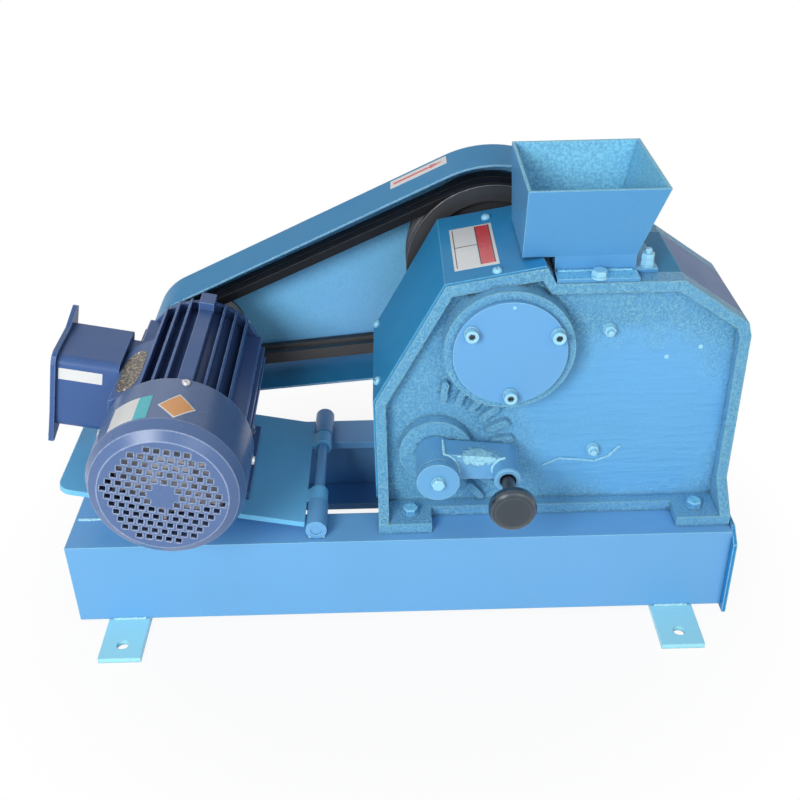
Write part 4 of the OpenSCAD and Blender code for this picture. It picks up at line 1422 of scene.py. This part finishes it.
def barrel(axis: Vector, radius: float, start: float) -> Surface:
    """Describes a cylinder about a line along Y, where v is Y.

    Args:
        axis: A point on the line.
        radius: The cylinder's radius.
        start: The angle in degrees that u runs clockwise from.

    Returns:
        The surface.
    """

    def at(u: float, v: float) -> tuple[Vector, Vector]:
        """Returns the point and the normal at u and v."""
        normal = unit(math.radians(start) - u * MM / radius)
        return Vector((axis.x, v * MM, axis.z)) + normal * radius, normal

    return at


def even(
    length: float, low: float, high: float, count: int = 12, start: float = 0.0
) -> list[Triple]:
    """Returns even stations of one width along a length, from a start."""
    return [(start + length * n / count, low, high) for n in range(count + 1)]


# --------------------------------------------------------------- sub-assemblies


@dataclass
class ChannelBase:
    """The channel-iron base with its tabs, end plate and weld seams."""

    seam_gap: float = 6 * MM

    def build(self) -> None:
        """Dresses the base and lays its welds."""
        dress(FRAME_BLUE, "front_channel", "rear_channel", "left_cross_member")
        dress(FRAME_BLUE, "bearer_left", "bearer_right")
        dress(TAB_SHEEN_BLUE, *(f"foot_tab_{corner}" for corner, _ in self.corners()))
        dress(GUARD_BLUE, "end_plate")
        WELDS.lay("base_welds", self.seams(), WELD_BLUE)

    def corners(self) -> list[tuple[str, float]]:
        """Lists the base's corners.

        Returns:
            Each corner's name, and the Y of the channel's outer face there.
        """
        faces = (("front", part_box("front_channel")[0].y), ("rear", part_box("rear_channel")[1].y))
        return [(f"{side}_{end}", y) for side, y in faces for end in ("left", "right")]

    def seams(self) -> list[list[Vector]]:
        """Places the seams: each tab to its channel, and the channels to the cross member.

        Returns:
            The seams' lines.
        """
        rows = []
        for corner, y in self.corners():
            low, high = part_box(f"foot_tab_{corner}")
            rows.append((low.x, high.x, y, high.z))
        low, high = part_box("front_channel")
        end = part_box("left_cross_member")[1].x
        rows += [(low.x, end, y, high.z) for y in (high.y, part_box("rear_channel")[0].y)]
        gap = self.seam_gap
        return [[Vector((a + gap, y, z)), Vector((b - gap, y, z))] for a, b, y, z in rows]


@dataclass
class MotorMount:
    """The hinged plate with its bushes and rod."""

    seam_in: float = 4 * MM
    seam_gap: float = 3 * MM
    seam_lift: float = 1 * MM

    def build(self) -> None:
        """Dresses the plate, bushes and rod, and welds the bushes down."""
        dress(PLATE_BLUE, "motor_plate")
        dress(FRAME_BLUE, "hinge_bush_front", "hinge_bush_rear", "hinge_rod")
        paths = []
        for node in ("hinge_bush_front", "hinge_bush_rear"):
            low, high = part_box(node)
            ends = (low.y + self.seam_gap, high.y - self.seam_gap)
            for x in (low.x + self.seam_in, high.x - self.seam_in):
                paths.append([Vector((x, y, low.z + self.seam_lift)) for y in ends])
        WELDS.lay("hinge_welds", paths, WELD_BLUE)


@dataclass(frozen=True)
class CowlLabel:
    """A blank label on the fan cover, by its start angle in degrees and its length in mm."""

    name: str
    start: float
    length: float
    finish: Finish


@dataclass
class Motor:
    """The finned motor: its finishes, screws, foot bolts and blank plates; all but y in mm."""

    cover_screw_angles: tuple[int, ...] = (76, 166, 256, 346)
    cover_screw_in: float = 7.0
    shield_bolt_angles: tuple[int, ...] = (33, 123, 213, 303)
    shield_bolt_reach: float = 60.0
    shield_bolt_in: float = 6.0
    foot_span: Pair = (125.0, 100.0)
    foot_top: float = -71.0
    foot_shift: float = 6.0
    lid_face: float = -137.0
    lid_ear: Pair = (45.0, 49.0)
    seat_corners: tuple[Pair, Pair] = ((-44.1, 54.0), (-71.0, 36.0))
    plate_start: float = 18.0
    plate_length: float = 78.0
    plate_margin: float = 3.0
    plate_round: float = 9.0
    plate_rivets: Pair = (0.03, 0.97)
    label_start: float = 20.0
    label_width: float = 38.0
    labels: tuple[CowlLabel, ...] = (
        CowlLabel("cover_label_white", 128.0, 28.0, WHITE_FILM),
        CowlLabel("cover_label_cyan", 106.6, 13.0, CYAN_FILM),
    )
    diamond_angle: float = 91.0
    diamond_at: Pair = (17.5, 20.0)
    diamond_half: Pair = (17.5, 15.5)
    diamond_stretch: float = 1.15
    diamond_lift: float = 0.2
    strip_at: Pair = (-132.0, 31.0)
    strip_size: Pair = (44.0, 13.0)
    box_half: float = 42.0
    least: float = 0.01

    def build(self) -> None:
        """Dresses the motor, and sets its screws and plates."""
        dress(MOTOR_BLUE, "motor_frame", "motor_end_shield", "terminal_box", "terminal_box_lid")
        dress(COWL_BLUE, "motor_fan_cover")
        dress(FAN_PLASTIC, "motor_fan")
        steel = (0.5, 0.5, 0.52, 1.0)
        dress(TurnedMetal("motor_shaft_steel", steel, 0.35, axis=LAYOUT.motor.xz), "motor_shaft")
        self.set_screws()
        self.set_feet()
        self.lay_plate()
        self.lay_labels()

    def out(self, x: float, y: float, z: float) -> Vector:
        """Returns the point at x, y, z in the motor's frame, with x and z in mm and y in metres."""
        return LAYOUT.motor_frame() @ Vector((x * MM, y, z * MM))

    def facing(self, x: float, y: float, z: float) -> Vector:
        """Returns a direction given in the motor's frame."""
        return LAYOUT.motor_frame().to_3x3() @ Vector((x, y, z))

    def cowl(self) -> tuple[float, float, float]:
        """Returns the fan cover's radius and the Y of its front and its back."""
        low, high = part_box("motor_fan_cover")
        return (high.x - low.x) / 2, low.y, high.y

    def set_screws(self) -> None:
        """Sets the screws of the fan cover, the end shield and the terminal box's lid."""
        radius, _, back = self.cowl()
        y = back - self.cover_screw_in * MM
        cover = [
            Place(around(LAYOUT.motor, radius / MM, angle, y), unit(math.radians(angle)))
            for angle in self.cover_screw_angles
        ]
        FASTENERS.set("fan_cover_screws", Fastener.PAN_SCREW, cover, ZINC)
        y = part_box("motor_end_shield")[0].y + self.shield_bolt_in * MM
        shield = [
            Place(around(LAYOUT.motor, self.shield_bolt_reach, angle, y), REAR)
            for angle in self.shield_bolt_angles
        ]
        FASTENERS.set("shield_bolts", Fastener.HEX_BOLT, shield, ZINC, size=0.7)
        middle, (across, up) = Layout.centre("terminal_box_lid").y, self.lid_ear
        spots = [self.out(self.lid_face, middle + s * across * MM, s * up) for s in (-1, 1)]
        lid = [Place(spot, self.facing(-1, 0, 0)) for spot in spots]
        FASTENERS.set("lid_screws", Fastener.PAN_SCREW, lid, ZINC, size=0.9)

    def set_feet(self) -> None:
        """Bolts the motor's feet to the plate."""
        middle = Layout.centre("motor_frame").y + self.foot_shift * MM
        length, width = self.foot_span
        spots = [
            self.out(u * length / 2, middle + v * width / 2 * MM, self.foot_top)
            for u in (-1, 1)
            for v in (-1, 1)
        ]
        feet = [Place(spot, self.facing(0, 0, 1)) for spot in spots]
        FASTENERS.set("motor_foot_bolts", Fastener.STUD_NUT, feet, ZINC)

    def lay_plate(self) -> None:
        """Rivets the blank rating plate, rounded at its ends, on its seat."""
        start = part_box("motor_frame")[0].y / MM + self.plate_start
        first, last = (self.out(x, 0, z) for x, z in self.seat_corners)
        seat, width = flat(first, REAR, last - first), (last - first).length / MM
        outline = []
        for share in (n / 16 for n in range(17)):
            edge = self.plate_margin + self.plate_round * abs(2 * share - 1) ** 5
            outline.append((start + share * self.plate_length, edge, width - edge))
        film("rating_plate_blank", seat, outline, PLATE_FILM)
        ends = [start + share * self.plate_length for share in self.plate_rivets]
        rivets = [Place(*seat(end, width / 2)) for end in ends]
        FASTENERS.set("rating_plate_rivets", Fastener.RIVET, rivets, ZINC)

    def lay_labels(self) -> None:
        """Lays the blank labels on the fan cover and the terminal box."""
        radius, front, _ = self.cowl()
        start = front / MM + self.label_start
        for label in self.labels:
            line = even(label.length, start, start + self.label_width)
            surface = barrel(LAYOUT.motor, radius, label.start)
            film(label.name, surface, line, label.finish)
        surface = barrel(LAYOUT.motor, radius, self.diamond_angle)
        middle = start + self.diamond_at[1]
        parts = (("border", 0.0, WHITE_FILM), ("fill", self.diamond_lift, AMBER_FILM))
        for half, (name, lift, finish) in zip(self.diamond_half, parts):
            tips = []
            for share in (n / 8 - 1 for n in range(17)):
                reach = self.diamond_stretch * half * (1 - abs(share)) + self.least
                tips.append((self.diamond_at[0] + share * half, middle - reach, middle + reach))
            film("cover_diamond_" + name, surface, tips, finish, lift=lift)
        (x, z), (length, width) = self.strip_at, self.strip_size
        face = Layout.centre("terminal_box_lid").y - self.box_half * MM
        strip = flat(self.out(x, face, z), self.facing(1, 0, 0), self.facing(0, 0, 1))
        film("box_seal_strip", strip, even(length, -width, 0, 4), WHITE_FILM)


@dataclass
class DriveGuard:
    """The sheet guard with its bracket, and its label with a direction arrow, in mm."""

    label_in: float = 40.0
    label_size: Pair = (68.0, 22.0)
    label_before_bend: float = 66.0
    arrow: tuple[Pair, ...] = (
        (4.0, 3.4), *((u, 2.2) for u in (6, 14, 22, 30, 38, 46, 48)), (48.4, 5.4), (56, 2.2),
        (63, 0.05),
    )
    bolt_out: float = 11.0
    bolt_in: float = 13.0
    bolt_lift: float = 5.0

    def build(self) -> None:
        """Dresses the guard, bolts it down, and lays the arrow label along its top."""
        dress(GUARD_BLUE, "guard_strip", "guard_bracket")
        dress(PANEL_BLUE, "guard_back_panel")
        length, width = self.label_size
        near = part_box("guard_strip")[0].y / MM + self.label_in
        middle = near + width / 2
        film("arrow_label", self.top, even(length, near, near + width, 24), WHITE_FILM)
        arrow = [(u, middle - half, middle + half) for u, half in self.arrow]
        film("direction_arrow", self.top, arrow, RED_FILM, lift=PRINT_LIFT)
        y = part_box("guard_bracket")[0].y + self.bolt_in * MM
        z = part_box("rear_channel")[1].z + self.bolt_lift * MM
        spots = [Vector((LAYOUT.shaft.x + s * self.bolt_out * MM, y, z)) for s in (-1, 1)]
        bolts = [Place(spot, UP) for spot in spots]
        FASTENERS.set("bracket_bolts", Fastener.HEX_BOLT, bolts, ZINC, size=0.8)

    def top(self, u: float, v: float) -> tuple[Vector, Vector]:
        """Finds a point on the guard's top, which runs straight and then round the wheel.

        Args:
            u: The way along it in mm, from before the bend.
            v: The place along Y in mm.

        Returns:
            The point and the normal there.
        """
        low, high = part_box("guard_strip")
        small, large = LAYOUT.motor.x - low.x, high.x - LAYOUT.shaft.x
        end = Vector((LAYOUT.shaft.x, 0, LAYOUT.shaft.z))
        span = end - Vector((LAYOUT.motor.x, 0, LAYOUT.motor.z))
        lean = math.atan2(span.z, span.x) + math.acos((small - large) / span.length)
        reach = u * MM - self.label_before_bend * MM
        normal = unit(lean - max(reach, 0.0) / large)
        run = unit(lean - math.pi / 2) * min(reach, 0.0)
        return end + normal * large + run + Vector((0, v * MM, 0)), normal


@dataclass
class DriveLine:
    """The wheel, the pulley, their shafts and the belts."""

    bolt_sunk: float = 0.4 * MM

    def build(self) -> None:
        """Dresses what turns, and sets the bolts on the shafts' ends."""
        shaft, motor = LAYOUT.shaft.xz, LAYOUT.motor.xz
        iron, steel = (0.085, 0.088, 0.095, 1.0), (0.5, 0.5, 0.51, 1.0)
        wheel = TurnedMetal("wheel_iron", iron, 0.42, axis=shaft, metallic=0.7, pitch=0.0018)
        pulley = (0.16, 0.165, 0.17, 1.0)
        dress(wheel, "drive_wheel")
        dress(TurnedMetal("pulley_iron", pulley, 0.40, axis=motor, metallic=0.8), "motor_pulley")
        dress(TurnedMetal("shaft_steel", steel, 0.33, axis=shaft), "eccentric_shaft")
        dress(BELT_RUBBER, "belt_near", "belt_far")
        for name, node, body in (
            ("wheel_end_bolt", "drive_wheel", Body.DRIVE),
            ("pulley_end_bolt", "motor_pulley", Body.MOTOR_ROTOR),
        ):
            centre, y = Layout.centre(node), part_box(node)[1].y - self.bolt_sunk
            bolt = [Place(Vector((centre.x, y, centre.z)), REAR)]
            FASTENERS.set(name, Fastener.HEX_BOLT, bolt, ZINC, body, size=0.9)


@dataclass
class JawBox:
    """The cast body: side frames, end wall, covers and the bent sheet; places in mm."""

    cover_screws_at: tuple[Pair, ...] = ((147.0, 45.0), (24.5, 49.5), (271.5, 45.0))
    cover_nub_at: Pair = (87.0, 50.0)
    sheet: float = 2.0
    bend_drop: float = 128.0
    knee_in: float = 71.5
    ridge_rise: float = 16.5
    roof_screws_at: tuple[Pair, ...] = ((50, -68), (50, 64))
    slope_screws_at: tuple[Pair, ...] = ((11, -50), (9, 78))
    label: tuple[float, ...] = (44.0, -51.0, 49.5, 4, 10.0)
    band: tuple[Pair, Pair] = ((37.0, 50.0), (-46, 46))
    rules: tuple[tuple[Pair, Pair], ...] = (
        ((35.9, 37.0), (-46, 46)),
        ((50.0, 50.9), (-46, 46)),
        ((12.6, 13.4), (-46, 46)),
        ((13.4, 35.9), (1, 1.9)),
    )
    studs_at: tuple[Pair, ...] = ((212.7, 321.0), (206.5, 179.6))
    nubs_at: tuple[Pair, ...] = ((305.7, 298.4), (272.7, 288.0))
    scar: tuple[Pair, ...] = (
        (156, 160), (171, 167.5), (186, 166.5), (210, 163.5), (224, 169.5), (234, 181),
    )
    scar_radius: float = 2.1
    foot_edge: float = 20.0
    foot_in: float = 34.0
    foot_height: float = 12.0

    def build(self) -> None:
        """Dresses the casting and sets its hardware."""
        dress(CAST_BLUE, "front_side_frame", "rear_side_frame")
        dress(WALL_SHEEN_BLUE, "end_wall")
        dress(COVER_BLUE, "front_bearing_cover", "rear_bearing_cover")
        dress(SHEET_BLUE, "cover_sheet")
        self.cover_screws()
        self.sheet_screws()
        self.wall_studs()
        self.foot_bolts()
        self.sheet_label()

    def cover_screws(self) -> None:
        """Sets three cap screws in each bearing cover, and the nub at its top."""
        front = (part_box("front_bearing_cover")[0].y, FRONT)
        faces = (front, (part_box("rear_bearing_cover")[1].y, REAR))
        screws = [
            Place(around(LAYOUT.shaft, reach, angle, y), facing)
            for y, facing in faces
            for angle, reach in self.cover_screws_at
        ]
        angle, reach = self.cover_nub_at
        nubs = [Place(around(LAYOUT.shaft, reach, angle, y), facing) for y, facing in faces]
        for name, kind, places, finish in (
            ("screws", Fastener.CAP_SCREW, screws, SCREW_HIGHLIGHT_BLUE),
            ("sockets", Fastener.SOCKET, screws, BLACK_FILM),
            ("nubs", Fastener.NUB, nubs, SCREW_HIGHLIGHT_BLUE),
        ):
            FASTENERS.set("bearing_cover_" + name, kind, places, finish, slot=Slot.CASTING)

    def roof(self) -> tuple[Surface, Surface]:
        """Finds the faces of the bent sheet.

        Returns:
            Its roof and its slope: u up each from its lower bend, v along Y.
        """
        low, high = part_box("cover_sheet")
        thick, deck = self.sheet * MM, LAYOUT.deck_z
        left = low.x + thick
        bend = Vector((left, 0, deck - self.bend_drop * MM))
        knee = Vector((left + self.knee_in * MM, 0, deck))
        ridge = Vector((high.x, 0, deck + self.ridge_rise * MM))
        made = []
        for start, end in ((knee, ridge), (bend, knee)):
            run = (end - start).normalized()
            made.append(flat(start + Vector((-run.z, 0, run.x)) * thick, run, REAR))
        return made[0], made[1]

    def sheet_screws(self) -> None:
        """Sets the four slotted screws of the bent sheet."""
        sides = zip(self.roof(), (self.roof_screws_at, self.slope_screws_at))
        places = [Place(*side(*spot)) for side, spots in sides for spot in spots]
        FASTENERS.set("sheet_screws", Fastener.ROUND_SCREW, places, SCREW_HIGHLIGHT_BLUE, slot=Slot.FRAME)

    def sheet_label(self) -> None:
        """Lays a blank label with a red band and thin rules on the roof."""
        roof, _ = self.roof()
        film("roof_label", roof, even(*self.label), WHITE_FILM)
        prints = [("band", self.band, RED_FILM)]
        prints += [(f"rule_{n}", rule, BLACK_FILM) for n, rule in enumerate(self.rules)]
        for name, (ends, sides), finish in prints:
            line = [(end, *sides) for end in ends]
            film("roof_label_" + name, roof, line, finish, lift=PRINT_LIFT)

    def on_wall(self, spots: Sequence[Pair]) -> list[Vector]:
        """Returns the points on the front wall at the given x and z."""
        return [Vector((x * MM, LAYOUT.wall_y, z * MM)) for x, z in spots]

    def wall_studs(self) -> None:
        """Sets the studs that hold the cheek plates, and the nubs and scar of the casting."""
        spots, kind, slot = self.on_wall(self.studs_at), Fastener.STUD_NUT, Slot.CASTING
        studs = [Place(spot, FRONT) for spot in spots]
        studs += [Place(LAYOUT.mirrored(spot), REAR) for spot in spots]
        FASTENERS.set("cheek_studs", kind, studs, SCREW_HIGHLIGHT_BLUE, slot=slot, size=0.85)
        run, radius = self.on_wall(self.scar), self.scar_radius * MM
        WELDS.lay("cast_scar", [run], CAST_BLUE, slot=slot, radius=radius)
        nubs = [Place(spot, FRONT) for spot in self.on_wall(self.nubs_at)]
        FASTENERS.set("casting_nubs", Fastener.NUB, nubs, SCREW_HIGHLIGHT_BLUE, slot=slot, size=1.4)

    def foot_bolts(self) -> None:
        """Bolts the casting's four feet to the channels."""
        low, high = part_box("front_side_frame")
        y, z = low.y + self.foot_edge * MM, low.z + self.foot_height * MM
        ends = (low.x + self.foot_in * MM, high.x - self.foot_in * MM)
        spots = [Vector((x, y, z)) for x in ends]
        bolts = [Place(spot, UP) for spot in spots + [LAYOUT.mirrored(spot) for spot in spots]]
        FASTENERS.set(
            "foot_bolts", Fastener.HEX_BOLT, bolts, HOPPER_BLUE, slot=Slot.CASTING, size=1.1
        )


@dataclass
class FeedHopper:
    """The sheet hopper and its hold-down hardware."""

    flange: float = 4 * MM
    bolt_x: float = 0.1965
    bolt_in: float = 5.5 * MM
    stud_at: Pair = (0.2465, -0.0475)
    seam: Pair = (0.160, 0.229)
    seam_in: float = 19 * MM

    def build(self) -> None:
        """Dresses the hopper, sets its bolts and lays its seams."""
        dress(HOPPER_BLUE, "hopper")
        top = LAYOUT.deck_z + self.flange
        front = Vector((self.bolt_x, LAYOUT.rim_y + self.bolt_in, top))
        bolts = [Place(front, UP), Place(LAYOUT.mirrored(front), UP)]
        stud = [Place(Vector((*self.stud_at, top)), UP)]
        for name, kind, places, size in (
            ("hopper_bolts", Fastener.HEX_BOLT, bolts, 1.05),
            ("hopper_stud", Fastener.LOCKED_STUD, stud, 0.9),
        ):
            FASTENERS.set(name, kind, places, SCREW_HIGHLIGHT_BLUE, slot=Slot.FRAME, size=size)
        throat = [Vector((x, LAYOUT.rim_y + self.seam_in, top)) for x in self.seam]
        WELDS.lay("hopper_welds", [throat, [LAYOUT.mirrored(p) for p in throat]], HOPPER_BLUE)


@dataclass
class Jaws:
    """What shows through the hopper and from below: jaws, cheeks and toggle."""

    nodes: tuple[str, ...] = (
        "fixed_jaw", "swing_jaw", "toggle_plate", "cheek_plate_front", "cheek_plate_rear",
    )

    def build(self) -> None:
        """Dresses the jaws and the plates round them."""
        dress(JAW_METAL, *self.nodes)


@dataclass
class GapAdjuster:
    """The indexed adjuster: arm, plunger and knob, with their welds and centre bolt."""

    boss_r: float = 21.5
    barrel_r: float = 13.75
    arm_back: float = 20 * MM
    seam_radius: float = 1.9 * MM
    steel: Colour = (0.5, 0.5, 0.5, 1.0)
    plunger: Colour = (0.20, 0.15, 0.14, 1.0)

    def build(self) -> None:
        """Dresses the adjuster and sets its details."""
        hub, pin = LAYOUT.adjuster, LAYOUT.plunger
        dress(ARM_BLUE, "adjuster_arm")
        dress(TurnedMetal("adjuster_steel", self.steel, 0.35, axis=hub.xz), "adjuster_shaft")
        turned = TurnedMetal("plunger_steel", self.plunger, 0.35, axis=pin.xz, pitch=0.0016)
        dress(turned, "plunger")
        dress(KNOB_PLASTIC, "plunger_knob")
        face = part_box("adjuster_arm")[0].y
        bolt = [Place(Vector((hub.x, face, hub.z)), FRONT)]
        name, body = "adjuster_centre_bolt", Body.ADJUSTER
        FASTENERS.set(name, Fastener.HEX_BOLT, bolt, SCREW_HIGHLIGHT_BLUE, body, Slot.FRAME, 0.9)
        seams = self.seams(face + self.arm_back)
        WELDS.lay("adjuster_welds", seams, WELD_BLUE, Body.ADJUSTER, radius=self.seam_radius)

    def seams(self, face: float) -> list[list[Vector]]:
        """Places the seams where the arm meets the boss and the barrel.

        Args:
            face: The Y of the arm's front face.

        Returns:
            The seams' lines.
        """
        boss = [around(LAYOUT.adjuster, self.boss_r, a, face) for a in range(70, -34, -8)]
        barrel_line = [around(LAYOUT.plunger, self.barrel_r, a, face) for a in range(100, 190, 8)]
        top = [around(LAYOUT.adjuster, self.boss_r, 72, face + d * MM) for d in range(0, 25, 4)]
        return [boss, barrel_line, top]


# ---------------------------------------------------------------------- studio


@dataclass(frozen=True)
class Lamp:
    """A round soft lamp."""

    name: str
    at: Triple
    size: float
    power: float


@dataclass
class Studio:
    """The floor, the lights, the world and the camera."""

    eye: Triple = (0.00228, -0.98254, 0.81625)
    yaw: float = math.radians(0.171)
    pitch: float = math.radians(31.83)
    roll: float = math.radians(-1.345)
    lens: float = 47.77
    sensor: float = 36.0
    ambient: float = 0.27
    aim: Triple = (0.0, 0.0, 0.22)
    lamps: tuple[Lamp, ...] = (
        Lamp("key", (-1.0, -2.0, 1.3), 1.0, 40.0),
        Lamp("fill", (1.1, -2.3, 1.5), 1.4, 14.0),
        Lamp("back", (-0.6, 2.3, 2.2), 1.8, 5.0),
    )
    floor_half: float = 9.0
    floor_z: float = -0.0005
    floor_colour: Colour = (0.86, 0.87, 0.88, 1.0)
    floor_fade: tuple[float, ...] = (0.28, 0.5, 0.9, 1.0)
    white: Colour = (1.0, 1.0, 1.0, 1.0)

    def build(self) -> None:
        """Sets up the whole studio."""
        self.lay_floor()
        self.hang_lamps()
        self.surround()
        self.stand_camera()
        bpy.context.scene.view_settings.view_transform = "Standard"

    def background_rays(self, graph: Graph) -> Socket:
        """Tells the rays that see the white background from the light's own.

        Args:
            graph: The graph of a material or the world.

        Returns:
            1 for the rays that see it, and 0 for the others.
        """
        rays = graph.add("ShaderNodeLightPath").outputs
        seen = graph.math("MAXIMUM", rays["Is Camera Ray"], rays["Is Glossy Ray"])
        return graph.math("MAXIMUM", seen, rays["Is Transmission Ray"])

    def floor_finish(self) -> bpy.types.Material:
        """Builds the floor's material: white to the eye, and matt under the machine's shadow.

        Returns:
            The material.
        """
        material = bpy.data.materials.new("studio_floor")
        material.use_nodes = True
        graph = Graph(material.node_tree)
        matt = graph.add("ShaderNodeBsdfDiffuse", {"Color": self.floor_colour})
        glow = graph.add("ShaderNodeEmission", {"Color": self.white, "Strength": 1.0})
        reach = graph.length(graph.add("ShaderNodeTexCoord").outputs["Object"])
        fade = graph.remap(reach, *self.floor_fade)
        share = graph.math("MULTIPLY", self.background_rays(graph), fade)
        both = graph.add("ShaderNodeMixShader", {0: share, 1: matt, 2: glow})
        graph.add("ShaderNodeOutputMaterial", {"Surface": both})
        return material

    def lay_floor(self) -> None:
        """Lays a pale floor that shows white and keeps the machine's shadow."""
        half = self.floor_half
        mesh = bpy.data.meshes.new("floor")
        corners = [(-half, -half, 0), (half, -half, 0), (half, half, 0), (-half, half, 0)]
        mesh.from_pydata(corners, [], [(0, 1, 2, 3)])
        mesh.materials.append(self.floor_finish())
        floor = bpy.data.objects.new("floor", mesh)
        floor.location.z = self.floor_z
        bpy.context.scene.collection.objects.link(floor)

    def hang_lamps(self) -> None:
        """Hangs a soft key light at the front left, a fill at the right and one behind."""
        for lamp in self.lamps:
            light = bpy.data.lights.new(lamp.name, "AREA")
            light.shape, light.size, light.energy = "DISK", lamp.size, lamp.power
            holder = bpy.data.objects.new(lamp.name, light)
            holder.location = lamp.at
            ahead = Vector(self.aim) - Vector(lamp.at)
            holder.rotation_euler = ahead.to_track_quat("-Z", "Y").to_euler()
            bpy.context.scene.collection.objects.link(holder)

    def surround(self) -> None:
        """Surrounds the machine with plain light, and shows white behind it."""
        world = bpy.data.worlds.new("studio")
        world.use_nodes = True
        graph = Graph(world.node_tree)
        strength = graph.remap(self.background_rays(graph), 0.0, 1.0, self.ambient, 1.0)
        sky = graph.add("ShaderNodeBackground", {"Color": self.white, "Strength": strength})
        graph.add("ShaderNodeOutputWorld", {"Surface": sky})
        bpy.context.scene.world = world

    def stand_camera(self) -> None:
        """Stands the camera in front of the machine, looking down at it."""
        lens = bpy.data.cameras.new("camera")
        lens.lens, lens.sensor_width = self.lens, self.sensor
        lens.clip_start, lens.clip_end = 0.02, 50.0
        across, along = math.sin(self.yaw), math.cos(self.yaw)
        level = Vector((along, -across, 0.0))
        ahead = Vector((across, along, 0.0)) * math.cos(self.pitch)
        ahead.z = -math.sin(self.pitch)
        upright = level.cross(ahead)
        right = level * math.cos(self.roll) + upright * math.sin(self.roll)
        top = upright * math.cos(self.roll) - level * math.sin(self.roll)
        turn = Matrix((right, top, -ahead)).transposed().to_4x4()
        camera = bpy.data.objects.new("camera", lens)
        camera.matrix_world = Matrix.Translation(self.eye) @ turn
        bpy.context.scene.collection.objects.link(camera)
        bpy.context.scene.camera = camera


def main() -> None:
    """Builds every sub-assembly, then the studio."""
    logging.basicConfig(level=logging.INFO, format="%(name)s: %(message)s")
    for assembly in (
        ChannelBase(),
        MotorMount(),
        Motor(),
        DriveGuard(),
        DriveLine(),
        JawBox(),
        FeedHopper(),
        Jaws(),
        GapAdjuster(),
    ):
        LOG.info("building %s", type(assembly).__name__)
        assembly.build()
    FASTENERS.clear()
    Studio().build()


if __name__ == "__main__":
    main()
